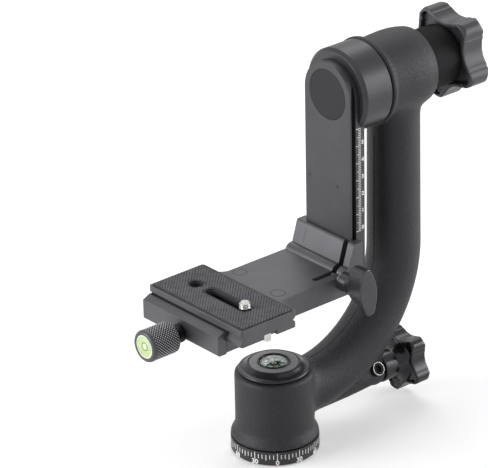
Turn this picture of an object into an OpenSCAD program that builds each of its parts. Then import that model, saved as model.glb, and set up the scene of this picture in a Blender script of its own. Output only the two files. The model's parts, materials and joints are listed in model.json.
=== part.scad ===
// Gimbal tripod head: a panning base, a J-shaped cast arm, a swinging dovetail rail,
// a sliding elbow bracket and a quick-release clamp with its camera plate.
// Frame: origin on the pan axis at the underside of the base, +Z up, +X from the pan axis
// towards the column, tilt axis along X. Millimetres.

/* [Base] */
// Outer diameter of the degree ring
base_d = 48.6; // [46:0.1:58]
// Height of the degree ring
ring_h = 8.2; // [7:0.1:12]
// Wall of the degree ring
ring_wall = 3; // [2:0.1:5]
// Major diameter of the tripod thread in the spindle
tripod_thread_d = 9.525; // [6.35:0.005:9.6]
// Depth of the tripod thread
tripod_thread_depth = 12; // [8:0.5:16]
// Diameter of the pan spindle
spindle_d = 16; // [14:0.1:17]
// Diameter of the spindle flange that is screwed to the base plate
flange_d = 31; // [28:0.5:33]
// Thickness of the spindle flange
flange_t = 2.8; // [2:0.1:4]

/* [Arm casting] */
// Diameter of the base barrel above its foot
barrel_d = 43.4; // [41:0.1:46]
// Height of the barrel's shoulder above the base
barrel_top = 47.2; // [45:0.1:56]
// Height of the foot bead around the bottom of the barrel
foot_h = 4; // [2:0.1:6]
// Height of the lower limb's centre line
limb_z = 29.7; // [27:0.1:32]
// Diameter of the lower limb and of the bend
limb_d = 30; // [26:0.1:33]
// Radius of the bend's centre line
bend_r = 67; // [55:0.5:72]
// Distance from the pan axis to the column
column_x = 88.4; // [84:0.1:96]
// Diameter of the column where it meets the top barrel
column_d = 29.2; // [26:0.1:30]
// Height of the tilt axis
tilt_z = 196.9; // [185:0.1:215]
// Length of the top barrel along the tilt axis
top_barrel_l = 36.8; // [34:0.1:44]
// Diameter of the top barrel's lip beside the hub
top_lip_d = 49.6; // [46:0.1:54]
// Diameter of the top barrel at its rear end
top_rear_d = 43.4; // [38:0.1:45]

/* [Cap and compass] */
// Diameter of the rolled rim of the cap
cap_d = 39; // [37:0.1:40]
// Height of the cap above the barrel
cap_h = 4.4; // [4:0.1:7]
// Diameter of the inlay disc in the cap
inlay_d = 24.4; // [23:0.1:29]
// Diameter of the compass case
compass_d = 18; // [14:0.1:19]
// Rise of the compass dome above the cap
dome_h = 1.8; // [1:0.1:3]

/* [Pan lock] */
// Height of the pan lock's axis
pan_lock_z = 20.5; // [20:0.1:22]
// Diameter of the boss that carries the push rod
pan_boss_d = 16.9; // [15:0.1:18]
// Distance from the pan axis to the end of that boss
pan_boss_end = 75.6; // [74:0.1:86]
// Diameter of the push rod
push_rod_d = 6; // [5:0.1:7]
// Radius of the pan lock star over its lobes
pan_star_r = 18.9; // [16:0.1:21]
// Thickness of the pan lock star
pan_star_t = 10.4; // [9:0.1:14]
// Length of the neck between the boss and the star
pan_neck_l = 14.2; // [12:0.1:18]

/* [Tilt hub and lock] */
// Diameter of the hub disc
hub_d = 48; // [46:0.1:54]
// Distance from the pan axis to the front face of the hub
hub_front_x = 46.5; // [46:0.1:50]
// Thickness of the hub disc
hub_t = 19.5; // [17:0.1:24]
// Diameter of the tilt shaft
tilt_shaft_d = 16; // [13:0.1:18]
// Diameter of the sleeve between the barrel and the star
sleeve_d = 34; // [28:0.1:36]
// Length of the sleeve
sleeve_l = 17.8; // [14:0.1:22]
// Radius of the tilt lock star over its lobes
tilt_star_r = 26.8; // [24:0.1:30]
// Thickness of the tilt lock star
tilt_star_t = 14.6; // [12:0.1:17]

/* [Swing rail] */
// Width of the dovetail rail
rail_w = 36.1; // [34:0.1:40]
// Thickness of the rail
rail_t = 10.1; // [9.6:0.1:12]
// Depth that the rail sinks into the slot of the hub
rail_inlay = 4.2; // [3.5:0.1:5]
// Height of the rail's lower end above the base
rail_bottom_z = 88.8; // [84:0.1:92]
// Thickness of the front flange at its edge
rail_lip_t = 0.8; // [0.6:0.1:1.4]
// Depth of the dovetail groove in each side
rail_groove = 3.05; // [2.5:0.05:3.6]
// Diameter of the round cover on the rail
cover_d = 28.4; // [26:0.1:31]
// Thickness of the round cover
cover_t = 2.2; // [1.6:0.1:2.6]

/* [Elbow bracket] */
// Height of the platform's top
platform_z = 101.5; // [99:0.1:104]
// Thickness of the platform
platform_t = 12.5; // [11:0.1:13]
// Width of the platform between the rail and the clamp
platform_w = 46.6; // [45:0.1:52]
// Width of the upright that grips the rail
upright_w = 46.2; // [43:0.1:46.6]
// Height of the upright above the platform
upright_h = 15.5; // [12:0.1:24]
// Width of the relief slit
slit_w = 3.5; // [1.5:0.1:4]
// Length of the relief slot along the platform
slot_l = 24.4; // [18:0.1:30]

/* [Wing knob] */
// Distance of the wing screw's axis in front of the rail
wing_back = 10.7; // [9:0.1:14]
// Depth of the wing screw's axis below the platform's top
wing_drop = 2.8; // [2.6:0.1:6]
// Diameter of the wing screw
wing_screw_d = 4; // [3:0.1:4.4]
// Height of the wing's lens outline
wing_l = 29; // [24:0.1:34]
// Width of the wing's lens outline
wing_w = 12; // [9:0.1:14]
// Thickness of the wing along its axis
wing_t = 9.6; // [8:0.1:13]
// Diameter of the wing's neck
wing_neck_d = 11; // [9:0.1:12]
// Length of the wing's neck
wing_neck_l = 10.2; // [8:0.1:14]

/* [Quick-release clamp] */
// Distance from the pan axis to the middle of the clamp
clamp_x = 40.3; // [38:0.1:48]
// Length of the clamp's jaws
jaw_l = 61.6; // [56:0.1:68]
// Thickness of the moving jaw
jaw_t = 5.8; // [5:0.1:8]
// Depth of the clamp screw's axis below the platform's top
clamp_screw_drop = 10.2; // [9.4:0.1:10.3]
// Diameter of the clamp screw
clamp_screw_d = 3.6; // [3:0.1:4]
// Pitch of the clamp screw's thread
clamp_pitch = 0.8; // [0.5:0.05:1.25]
// Opening travel of the moving jaw
jaw_travel = 4; // [3:0.1:5]
// Diameter of the knurled clamp knob
knob_d = 17.8; // [15:0.1:20]
// Length of the knurled part
knob_l = 18.2; // [13:0.1:20]
// Length of the neck behind the knurled part
knob_neck_l = 6.4; // [5:0.1:9]

/* [Camera plate] */
// Width of the plate across its dovetail
plate_w = 38; // [34:0.1:39]
// Length of the plate
plate_l = 76; // [70:0.1:84]
// Thickness of the plate's top slab
slab_t = 3.3; // [2:0.1:4]
// Depth of the V in each side of the plate
plate_groove = 2.4; // [1.6:0.1:2.6]
// Height of the plate's lower edge under the V
plate_lip_t = 2.4; // [2:0.1:2.6]
// How far the plate is pushed along the clamp, towards -Y
plate_shift = 5.7; // [0:0.1:12]
// Thickness of the rubber pad above the slab
pad_rise = 0.4; // [0.2:0.1:1]
// Bare border around the pad
pad_border = 1; // [0.6:0.1:2]
// Diameter of the camera screw
camera_screw_d = 6.35; // [6:0.05:9.525]
// Height of the camera screw above the pad
camera_screw_h = 4; // [4:0.1:7]
// Diameter of the plain hole in the plate
plate_hole_d = 7.8; // [6.4:0.1:10]

/* [Hidden] */
$fn = 72;

// Clearances
run_gap = 0.05;        // shaft in a bush, pin in a bore
seat_gap = 0.02;       // piece located in a seat on the same body
body_gap = 0.3;        // faces of pieces that move past each other
slide_gap = 0.15;      // dovetail slides
join = 0.6;            // overlap of shapes that make one solid
eps = 0.01;

// Colours
coat_black = "#2b2b2d";
anodised_black = "#232326";
knob_black = "#1c1c1e";
rubber_black = "#161617";
steel = "#b9bcc0";
brass = "#b59a55";

// Base levels
base_r = base_d / 2;
plate_r = base_r - ring_wall;
flange_r = flange_d / 2;
flange_top = ring_h + flange_t;
washer_t = 0.8;
thrust_top = flange_top + washer_t;
arm_bottom = ring_h + 0.4;
arm_ceiling = thrust_top + 0.2;
spindle_r = spindle_d / 2;
spindle_foot_r = spindle_r + 1.5;
tripod_r = tripod_thread_d / 2;
base_screw_pcd = spindle_foot_r + flange_r;
base_screw_r = 1.5;
base_screw_head_r = 2.9;
base_screw_count = 4;
base_screw_l = flange_top - 1;

// Barrel levels and bores
barrel_r = barrel_d / 2;
cap_r = cap_d / 2;
cap_floor = barrel_top - 3;
bush_wall = 3;
bush_r = spindle_r + run_gap + bush_wall;
lower_bush_l = 4.2;
upper_bush_l = 8;
cavity_floor = cap_floor - 6.2;
retainer_r = bush_r - 0.4;
retainer_t = 1.6;
spindle_top = cavity_floor + 0.2;
retainer_screw_r = 3;
retainer_screw_head_r = 5;
retainer_screw_head_t = 3;
cavity_r = bush_r + 1.5;
cap_recess_r = cap_r - 1.2;

// Cap and compass levels
cap_top = barrel_top + cap_h;
inlay_r = inlay_d / 2;
inlay_t = 1;
compass_r = compass_d / 2;
compass_floor = cap_top - 3.6;
compass_wall = 0.9;
compass_base_t = 0.8;
card_t = 0.6;
card_gap = 0.5;
card_z = compass_floor + compass_base_t + 1;
lens_seat = 0.6;
lens_z = cap_top - lens_seat;
pivot_r = 0.5;

// Tilt axis stations
limb_r = limb_d / 2;
column_r = column_d / 2;
hub_r = hub_d / 2;
hub_back_x = hub_front_x + hub_t;
top_barrel_x0 = hub_back_x + 0.4;
top_barrel_x1 = top_barrel_x0 + top_barrel_l;
top_lip_r = top_lip_d / 2;
top_rear_r = top_rear_d / 2;
tilt_shaft_r = tilt_shaft_d / 2;
tilt_bush_r = tilt_shaft_r + run_gap + bush_wall;
tilt_bush_l = 9;
bend_centre_x = column_x - bend_r;
bend_centre_z = limb_z + bend_r;
sleeve_r = sleeve_d / 2;
tilt_washer_t = 1;
tilt_washer_r = tilt_shaft_r + 6;
sleeve_x0 = top_barrel_x1 + 0.2 + tilt_washer_t;
sleeve_x1 = sleeve_x0 + sleeve_l;
tilt_star_x1 = sleeve_x1 + tilt_star_t;
tilt_insert_r = tilt_star_r * 0.36;
tilt_thread_r = 5;
tilt_bolt_head_r = 5;
star_floor_t = 3.4;
recess_part = 0.3;

// Rail stations
rail_r = rail_w / 2;
rail_back_x = hub_front_x + rail_inlay;
rail_front_x = rail_back_x - rail_t;
groove_x0 = rail_front_x + rail_lip_t;
groove_x1 = groove_x0 + rail_groove;
cover_r = cover_d / 2;
rail_screw_r = 2;
rail_screw_head_r = 3.5;
rail_screw_head_t = 3;
rail_screw_count = 4;
rail_screw_l = 12;
rail_screw_pitch_r = cover_r - rail_screw_head_r - 1;

// Bracket stations
platform_bottom = platform_z - platform_t;
bracket_x1 = rail_front_x - slide_gap;
cheek_x1 = groove_x1 - slide_gap;
upright_r = upright_w / 2;
upright_top = platform_z + upright_h;
upright_face_x = bracket_x1 - 2.4;
upright_foot_x = bracket_x1 - 6.0;
ramp_r = 4.75;
slit_y = -(rail_r - rail_groove + slit_w / 2 - 0.2);
wing_x = bracket_x1 - wing_back;
wing_z = platform_z - wing_drop;
wing_screw_r = wing_screw_d / 2;
wing_washer_t = 1;
wing_seat_y = -platform_w / 2;
wing_washer_r = wing_neck_d / 2 - 0.3;
wing_neck_y0 = wing_seat_y - wing_washer_t - 2 * seat_gap;
wing_y0 = wing_neck_y0 - wing_neck_l;
wing_screw_tip = slit_y + 12;

// Clamp and plate stations, seen along the plate, with u from the middle of the plate
plate_r_w = plate_w / 2;
plate_waist = plate_r_w - plate_groove;
channel_depth = 5.6;
channel_z = platform_z - channel_depth;
plate_z0 = channel_z + 0.3;
plate_v_z = plate_z0 + plate_lip_t + plate_groove;
slab_z0 = plate_v_z + plate_groove * 0.625;
slab_z1 = slab_z0 + slab_t;
pad_z1 = slab_z1 + pad_rise;
jaw_half_l = jaw_l / 2;
body_end_x = -clamp_x - plate_r_w + 0.8;
jaw_x1 = body_end_x - body_gap;
jaw_x0 = jaw_x1 - jaw_t;
jaw_slope_x = jaw_x0 + 4.4;
jaw_shoulder_z = platform_z - 2;
jaw_overhang = 0.8;
clamp_screw_z = platform_z - clamp_screw_drop;
clamp_screw_r = clamp_screw_d / 2;
guide_pin_r = 1.6;
guide_pin_inset = 10;
guide_grip = 8;
screw_grip = 14;
screw_socket = 6;
guide_pin_y = jaw_half_l - guide_pin_inset;
guide_pin_in = jaw_travel + guide_grip;
knob_r = knob_d / 2;
knob_neck_r = knob_r * 0.575;
knob_x1 = jaw_x0 - body_gap;
knob_neck_x0 = knob_x1 - knob_neck_l;
knob_x0 = knob_neck_x0 - knob_l;
knob_rim = 1;
level_r = knob_r - 2.4;
level_t = 4.4;
level_wall = 0.8;
plate_y0 = -plate_shift - plate_l / 2;
plate_y1 = plate_y0 + plate_l;
plate_corner = 1.6;
slot_r = camera_screw_d / 2 + 0.15;
slot_y1 = -plate_shift + 8.8;
slot_y0 = -plate_shift - 18.7;
keeper_r = slot_r + 2.6;
keeper_t = 2.2;
keeper_floor_t = 3;
stop_r = 2.2;
stop_drop = 2.8;
stop_notch_t = 2.4;
stop_y = plate_y0 + stop_r + 0.9;
stop_x = -clamp_x + 1;
camera_screw_r = camera_screw_d / 2;
camera_screw_head_r = keeper_r - 0.5;
camera_screw_head_t = 2.4;
hole_y = -plate_shift + 21.1;

// Points of an arc in a profile plane
function arc(cx, cy, r, a0, a1, n = 8) =
    [for (i = [0 : n]) let (a = a0 + (a1 - a0) * i / n) [cx + r * cos(a), cy + r * sin(a)]];

// Turns a profile of [radius, distance] points about an axis along X through the tilt height
module turned_x(points, z = tilt_z) {
    translate([0, 0, z]) rotate([90, 0, 90]) rotate_extrude() polygon(points);
}

module rod_x(x0, x1, r, y = 0, z = tilt_z) {
    translate([x0, y, z]) rotate([0, 90, 0]) cylinder(h = x1 - x0, r = r);
}

module rod_y(y0, y1, r, x, z) {
    translate([x, y1, z]) rotate([90, 0, 0]) cylinder(h = y1 - y0, r = r);
}

module rod_z(z0, z1, r, x = 0, y = 0) {
    translate([x, y, z0]) cylinder(h = z1 - z0, r = r);
}

module tube_z(z0, z1, outer, inner) {
    difference() {
        rod_z(z0, z1, outer);
        rod_z(z0 - 1, z1 + 1, inner);
    }
}

module tube_x(x0, x1, outer, inner, z = tilt_z) {
    difference() {
        rod_x(x0, x1, outer, z = z);
        rod_x(x0 - 1, x1 + 1, inner, z = z);
    }
}

// Extrudes an X-Z outline along Y, between two Y stations
module along_y(y0, y1) {
    translate([0, y1, 0]) rotate([90, 0, 0]) linear_extrude(y1 - y0) children();
}

// Socket head screw along -Z from the origin, head above
module socket_screw(head_r, head_t, shank_r, shank_l, socket_r) {
    difference() {
        union() {
            cylinder(h = head_t, r = head_r);
            translate([0, 0, -shank_l]) cylinder(h = shank_l + join, r = shank_r);
        }
        translate([0, 0, head_t * 0.4]) cylinder(h = head_t, r = socket_r, $fn = 6);
    }
}

// Five-lobed star outline with round lobes and broad scoops, drawn smaller by a wall
module star_outline(r, wall = 0, lobes = 5) {
    lobe_r = r * 0.215;
    scoop_r = r * 0.56;
    valley_r = r * 0.73;
    difference() {
        circle(r = r * 0.86 - wall);
        for (i = [0 : lobes - 1])
            rotate(360 / lobes * (i + 0.5)) translate([valley_r + scoop_r, 0])
                circle(r = scoop_r + wall);
    }
    for (i = [0 : lobes - 1])
        rotate(360 / lobes * i) translate([r - lobe_r, 0]) circle(r = lobe_r - wall);
}

// Star knob along +Z: crowned outer face, hollow back with a hub
module star_knob(r, t, hub_r, floor_t, recess_r) {
    wall = r * 0.085;
    edge = t * 0.12;
    recess_t = t * recess_part;
    difference() {
        intersection() {
            linear_extrude(t) star_outline(r);
            rotate_extrude() polygon([
                [0, 0], [r - edge, 0], [r, edge], [r, t - edge], [r - edge, t], [0, t]
            ]);
        }
        difference() {
            translate([0, 0, -1]) linear_extrude(t - floor_t + 1) star_outline(r, wall);
            translate([0, 0, -1]) cylinder(h = t, r = hub_r);
        }
        translate([0, 0, t - recess_t]) cylinder(h = t, r = recess_r);
    }
}

// Base group
module base_plate() {
    color(anodised_black) difference() {
        tube_z(0, ring_h, plate_r, spindle_foot_r + seat_gap);
        for (i = [0 : base_screw_count - 1]) rotate(45 + 360 / base_screw_count * i)
            translate([base_screw_pcd / 2, 0, -eps]) {
                cylinder(h = ring_h + 1, r = base_screw_r + seat_gap);
                cylinder(h = 2 + eps, r = base_screw_head_r + 0.1);
            }
    }
}

module degree_ring() {
    chamfer = 0.8;
    inner = plate_r + seat_gap;
    color(anodised_black) rotate_extrude() polygon([
        [inner, 0], [base_r - chamfer, 0], [base_r, chamfer], [base_r, ring_h], [inner, ring_h]
    ]);
}

module pan_spindle() {
    color(steel) difference() {
        union() {
            rod_z(0, ring_h + join, spindle_foot_r);
            rod_z(ring_h, flange_top, flange_r);
            rod_z(flange_top - join, spindle_top, spindle_r);
        }
        rod_z(-1, tripod_thread_depth, tripod_r);
        rod_z(spindle_top - 14, spindle_top + 1, retainer_screw_r + seat_gap);
        for (i = [0 : base_screw_count - 1]) rotate(45 + 360 / base_screw_count * i)
            rod_z(ring_h - 1, base_screw_l + 0.3, base_screw_r + seat_gap, x = base_screw_pcd / 2);
    }
}

module base_screws() {
    head_t = 1.6;
    color(steel) for (i = [0 : base_screw_count - 1]) rotate(45 + 360 / base_screw_count * i)
        translate([base_screw_pcd / 2, 0, 2]) mirror([0, 0, 1])
            socket_screw(base_screw_head_r, head_t, base_screw_r, base_screw_l - 2, 1.2);
}

module pan_thrust_washer() {
    color("#d8d4c8") tube_z(flange_top, thrust_top, flange_r - 0.5, spindle_r + seat_gap);
}

module pan_retainer() {
    color(steel) tube_z(spindle_top, spindle_top + retainer_t, retainer_r, retainer_screw_r + seat_gap);
}

module pan_retainer_screw() {
    color(steel) translate([0, 0, spindle_top + retainer_t])
        socket_screw(retainer_screw_head_r, retainer_screw_head_t, retainer_screw_r,
                     retainer_t + 12, 2.5);
}

// Arm group
module barrel_profile() {
    shoulder = 2.6;
    foot_edge = 0.5;
    neck_r = barrel_r - 0.1;
    flare = base_r - neck_r;
    bend_z = arm_bottom + foot_h;
    polygon(concat(
        [[0, arm_bottom], [base_r - foot_edge, arm_bottom], [base_r, arm_bottom + foot_edge]],
        [[base_r, arm_bottom + foot_h * 0.5]],
        arc(base_r - flare, arm_bottom + foot_h * 0.5, flare, 12, 48, 4),
        arc(neck_r + 2 * flare, bend_z + flare, 2 * flare, 222, 180, 5),
        arc(barrel_r - shoulder, barrel_top - shoulder, shoulder, 0, 80, 6),
        [[0, barrel_top]]
    ));
}

module top_barrel_profile() {
    lip = 2.4;
    neck_r = top_lip_r - 2.4;
    neck_x = top_barrel_x0 + 5.2;
    bulge_r = top_rear_r + 1.5;
    round = 3;
    polygon(concat(
        [[0, top_barrel_x0], [top_lip_r - 0.4, top_barrel_x0], [top_lip_r, top_barrel_x0 + 0.4]],
        [[top_lip_r, top_barrel_x0 + lip], [neck_r + 0.5, neck_x - 1.4], [neck_r, neck_x]],
        [[neck_r + 0.2, neck_x + 3.4], [bulge_r, top_barrel_x0 + top_barrel_l * 0.55]],
        [[bulge_r - 0.2, top_barrel_x0 + top_barrel_l * 0.76]],
        arc(top_rear_r - round, top_barrel_x1 - round, round, 15, 90, 6),
        [[0, top_barrel_x1]]
    ));
}

module arm_casting() {
    flare = 7;
    boss_edge = 1;
    web_t = pan_boss_d * 0.8;
    color(coat_black) difference() {
        union() {
            rotate_extrude() barrel_profile();
            translate([bend_centre_x, 0, bend_centre_z]) rotate([90, 0, 0])
                rotate(-90) rotate_extrude(angle = 90) translate([bend_r, 0]) circle(r = limb_r);
            translate([0, 0, limb_z]) rotate([0, 90, 0])
                cylinder(h = bend_centre_x, r1 = limb_r + 1.4, r2 = limb_r);
            translate([column_x, 0, bend_centre_z])
                cylinder(h = tilt_z - top_rear_r + 4 - bend_centre_z, r1 = limb_r, r2 = column_r);
            translate([column_x - 1, 0, tilt_z - top_rear_r - flare - join])
                cylinder(h = 2 * flare, r1 = column_r - 1.5, r2 = column_r + 0.7);
            turned_x_profile() top_barrel_profile();
            rod_x(0, pan_boss_end - boss_edge, pan_boss_d / 2, z = pan_lock_z);
            along_y(-web_t / 2, web_t / 2) polygon([
                [bend_centre_x, limb_z], [bend_centre_x, pan_lock_z],
                [pan_boss_end - boss_edge, pan_lock_z],
                [pan_boss_end - boss_edge, pan_lock_z + pan_boss_d / 2 - 0.6],
                [column_x - limb_r * 0.5, limb_z + limb_r]
            ]);
            translate([pan_boss_end - boss_edge, 0, pan_lock_z]) rotate([0, 90, 0])
                cylinder(h = boss_edge, r1 = pan_boss_d / 2, r2 = pan_boss_d / 2 - boss_edge);
        }
        rod_z(0, arm_ceiling, flange_r + body_gap);
        rod_z(arm_ceiling - 1, cavity_floor + 1, bush_r + seat_gap);
        rod_z(cavity_floor, cap_floor + 1, cavity_r);
        rod_z(cap_floor, barrel_top + 1, cap_recess_r + seat_gap);
        rod_x(top_barrel_x0 - 1, top_barrel_x1 + 1, tilt_bush_r + seat_gap);
        rod_x(top_barrel_x1, sleeve_x1, sleeve_r + body_gap);
        rod_x(0, pan_boss_end + 1, push_rod_d / 2 + run_gap, z = pan_lock_z);
        rod_x(pan_boss_end - insert_l, pan_boss_end + 1, insert_r + seat_gap, z = pan_lock_z);
        along_y(-base_r, base_r) polygon([
            [keel_x0, 0], [keel_x1, 0], [keel_x1, keel_z1], [keel_x0, keel_z0]
        ]);
        keeper_frame() {
            translate([0, 0, -keeper_depth]) cylinder(h = 40, r = keeper_shank_r + seat_gap);
            cylinder(h = 40, r = keeper_head_r + 0.15);
        }
    }
}

module turned_x_profile() {
    translate([0, 0, tilt_z]) rotate([90, 0, 90]) rotate_extrude() children();
}

module pan_bush_lower() {
    color(brass) tube_z(arm_ceiling, arm_ceiling + lower_bush_l, bush_r, spindle_r + run_gap);
}

module pan_bush_upper() {
    color(brass) tube_z(cavity_floor - upper_bush_l, cavity_floor, bush_r, spindle_r + run_gap);
}

module base_cap() {
    bead = 1.3;
    dome = cap_h - 2 * bead;
    cove = dome * 0.7;
    rim = 0.8;
    color(anodised_black) difference() {
        union() {
            rotate_extrude() polygon(concat(
                [[0, barrel_top], [cap_r - bead, barrel_top]],
                arc(cap_r - bead, barrel_top + bead, bead, -90, 100, 8),
                arc(cap_r - 1.4 * bead, cap_top - dome + cove, cove, -90, -150, 5),
                [[inlay_r + rim * 1.8, cap_top - dome * 0.45], [inlay_r + rim, cap_top], [0, cap_top]]
            ));
            rod_z(cap_floor + 0.2, barrel_top + eps, cap_recess_r);
        }
        rod_z(cap_top - inlay_t, cap_top + 1, inlay_r + seat_gap);
        rod_z(compass_floor, cap_top + 1, compass_r + seat_gap);
        rod_z(cap_floor, compass_floor - 1.2, cavity_r - 1);
    }
}

module cap_inlay() {
    edge = 0.3;
    color("#3a3a3d") difference() {
        rotate_extrude() polygon([
            [0, cap_top - inlay_t], [inlay_r, cap_top - inlay_t], [inlay_r, cap_top - edge],
            [inlay_r - edge, cap_top], [0, cap_top]
        ]);
        rod_z(cap_top - inlay_t - 1, cap_top + 1, compass_r + 2 * seat_gap);
    }
}

module compass_case() {
    color("#202022") difference() {
        rod_z(compass_floor, cap_top + 0.4, compass_r);
        rod_z(compass_floor + compass_base_t, cap_top + 1, compass_r - compass_wall - 0.6);
        rod_z(lens_z, cap_top + 1, compass_r - compass_wall);
        rod_z(compass_floor - 1, cap_top, pivot_r + seat_gap);
    }
}

module compass_pivot() {
    color(brass) rod_z(compass_floor, card_z + card_t + 0.5, pivot_r);
}

module compass_card() {
    color("#1f6b4a") tube_z(card_z, card_z + card_t, compass_r - compass_wall - 0.6 - card_gap,
                            pivot_r + run_gap);
}

module compass_lens() {
    lens_r = compass_r - compass_wall - seat_gap;
    rise = dome_h;
    ball_r = (lens_r * lens_r + rise * rise) / (2 * rise);
    color([0.8, 0.9, 0.88, 0.4]) union() {
        rod_z(lens_z, cap_top + eps, lens_r);
        intersection() {
            translate([0, 0, cap_top + rise - ball_r]) sphere(r = ball_r);
            rod_z(cap_top, cap_top + rise + 1, lens_r);
        }
    }
}

module tilt_bush_front() {
    color(brass) tube_x(top_barrel_x0, top_barrel_x0 + tilt_bush_l, tilt_bush_r, tilt_shaft_r + run_gap);
}

module tilt_bush_rear() {
    color(brass) tube_x(top_barrel_x1 - tilt_bush_l, top_barrel_x1, tilt_bush_r, tilt_shaft_r + run_gap);
}

// Pan lock group
insert_l = 4.3;
insert_r = push_rod_d / 2 + 1.8;
pad_l = 4;
pad_x0 = spindle_r + 0.2;
rod_end_x = pan_boss_end + pan_neck_l + pan_star_t * (1 - recess_part);
keel_x0 = 40;
keel_x1 = pan_boss_end - 8;
keel_z0 = pan_lock_z - pan_boss_d / 2 - 0.6;
keel_z1 = pan_lock_z - pan_boss_d / 2 + 3;
keeper_head_r = 4.1;
keeper_head_t = 2.6;
keeper_shank_r = 1.5;
keeper_x = pan_boss_end - insert_l - 2;
keeper_tilt = 58;
keeper_seat = pan_boss_d / 2 - 1.2;
keeper_depth = keeper_seat - push_rod_d / 2 - run_gap;
pan_hub_r = pan_star_r * 0.44;

// Frame of the keeper screw: origin on its seat in the boss, +Z out of the boss
module keeper_frame() {
    translate([keeper_x, 0, pan_lock_z]) rotate([keeper_tilt, 0, 0]) translate([0, 0, keeper_seat])
        children();
}

module pan_brake_pad() {
    color("#d8d4c8") intersection() {
        rod_x(pad_x0 - 2, pad_x0 + pad_l, push_rod_d / 2, z = pan_lock_z);
        difference() {
            rod_z(pan_lock_z - 10, pan_lock_z + 10, pad_x0 + pad_l - seat_gap);
            rod_z(pan_lock_z - 11, pan_lock_z + 11, pad_x0);
        }
    }
}

module pan_push_rod() {
    color(steel) rod_x(pad_x0 + pad_l, rod_end_x, push_rod_d / 2, z = pan_lock_z);
}

module pan_thread_insert() {
    color(brass) tube_x(pan_boss_end - insert_l, pan_boss_end, insert_r, push_rod_d / 2 + run_gap,
                        z = pan_lock_z);
}

module rod_keeper_screw() {
    color(steel) keeper_frame()
        socket_screw(keeper_head_r, keeper_head_t, keeper_shank_r, keeper_depth - 0.1, 2.2);
}

module pan_star_knob() {
    x0 = pan_boss_end + body_gap;
    star_x0 = pan_boss_end + pan_neck_l;
    collar_l = 3;
    color(knob_black) difference() {
        union() {
            rod_x(x0, star_x0 + 2 * join, pan_hub_r - 0.8, z = pan_lock_z);
            rod_x(x0 + collar_l, x0 + 2.4 * collar_l, pan_hub_r, z = pan_lock_z);
            translate([star_x0, 0, pan_lock_z]) rotate([0, 90, 0]) rotate(5)
                star_knob(pan_star_r, pan_star_t, pan_hub_r, star_floor_t * 0.8, pan_star_r * 0.3);
        }
        rod_x(x0 - 1, rod_end_x + 9, push_rod_d / 2 + run_gap, z = pan_lock_z);
    }
}

module pan_star_bolt() {
    head_t = 2.2;
    color(steel) translate([rod_end_x + run_gap, 0, pan_lock_z]) rotate([0, 90, 0]) difference() {
        cylinder(h = head_t, r = pan_star_r * 0.24);
        translate([0, 0, head_t * 0.4]) cylinder(h = head_t, r = 2, $fn = 6);
    }
}

// Swing group
module rail_section() {
    lip_y = rail_r - rail_groove;
    polygon([
        [rail_front_x, -rail_r], [groove_x0, -rail_r], [groove_x1, -lip_y], [groove_x1, -rail_r],
        [rail_back_x, -rail_r], [rail_back_x, rail_r], [groove_x1, rail_r], [groove_x1, lip_y],
        [groove_x0, rail_r], [rail_front_x, rail_r]
    ]);
}

// Outline of the rail seen along X: straight sides under a round head
module rail_front_outline(extra = 0) {
    circle(r = rail_r + extra);
    translate([-rail_r - extra, rail_bottom_z - tilt_z])
        square([2 * (rail_r + extra), tilt_z - rail_bottom_z]);
}

module rail_head(x0, x1, extra = 0) {
    translate([x0, 0, tilt_z]) rotate([90, 0, 90]) linear_extrude(x1 - x0) rail_front_outline(extra);
}

module rail_screw_places() {
    for (i = [0 : rail_screw_count - 1]) translate([0, 0, tilt_z])
        rotate([45 + 360 / rail_screw_count * i, 0, 0]) translate([0, rail_screw_pitch_r, -tilt_z])
            children();
}

module swing_rail() {
    seat_x = rail_front_x + cover_t;
    color(anodised_black) difference() {
        intersection() {
            translate([0, 0, rail_bottom_z]) linear_extrude(tilt_z + rail_r - rail_bottom_z)
                rail_section();
            rail_head(rail_front_x - 1, rail_back_x + 1);
        }
        rod_x(rail_front_x - 1, seat_x, cover_r + seat_gap);
        rail_screw_places() {
            rod_x(rail_front_x, rail_back_x + 1, rail_screw_r + seat_gap);
            rod_x(rail_front_x, seat_x + rail_screw_head_t + seat_gap, rail_screw_head_r + 0.1);
        }
    }
}

module rail_screws() {
    color(steel) rail_screw_places()
        translate([rail_front_x + cover_t + rail_screw_head_t, 0, tilt_z]) rotate([0, -90, 0])
            socket_screw(rail_screw_head_r, rail_screw_head_t - 0.1, rail_screw_r, rail_screw_l, 1.7);
}

module rail_cover() {
    edge = 0.25;
    color("#2e2e31") turned_x([
        [0, rail_front_x], [cover_r - edge, rail_front_x], [cover_r, rail_front_x + edge],
        [cover_r, rail_front_x + cover_t], [0, rail_front_x + cover_t]
    ]);
}

module hub_disc() {
    bevel = 1.8;
    edge = 0.4;
    color(anodised_black) difference() {
        turned_x([
            [0, hub_front_x], [hub_r - bevel, hub_front_x], [hub_r, hub_front_x + bevel],
            [hub_r, hub_back_x - edge], [hub_r - edge, hub_back_x], [0, hub_back_x]
        ]);
        rail_head(hub_front_x - 1, rail_back_x, seat_gap);
        rod_x(rail_back_x, hub_back_x + 1, tilt_shaft_r + seat_gap);
        rail_screw_places()
            rod_x(rail_back_x - 1, rail_front_x + cover_t + rail_screw_head_t + rail_screw_l + 0.3,
                  rail_screw_r + seat_gap);
    }
}

module tilt_shaft() {
    color(steel) difference() {
        union() {
            rod_x(rail_back_x + 2, sleeve_x1 - 2, tilt_shaft_r);
            rod_x(sleeve_x1 - 3, tilt_star_x1 - tilt_star_t * recess_part, tilt_thread_r);
        }
        rail_screw_places()
            rod_x(rail_back_x - 1, rail_front_x + cover_t + rail_screw_head_t + rail_screw_l + 0.3,
                  rail_screw_r + 0.2);
    }
}

// Tilt lock group
module tilt_washer() {
    color("#d8d4c8") tube_x(sleeve_x0 - tilt_washer_t, sleeve_x0, tilt_washer_r, tilt_shaft_r + run_gap);
}

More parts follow.
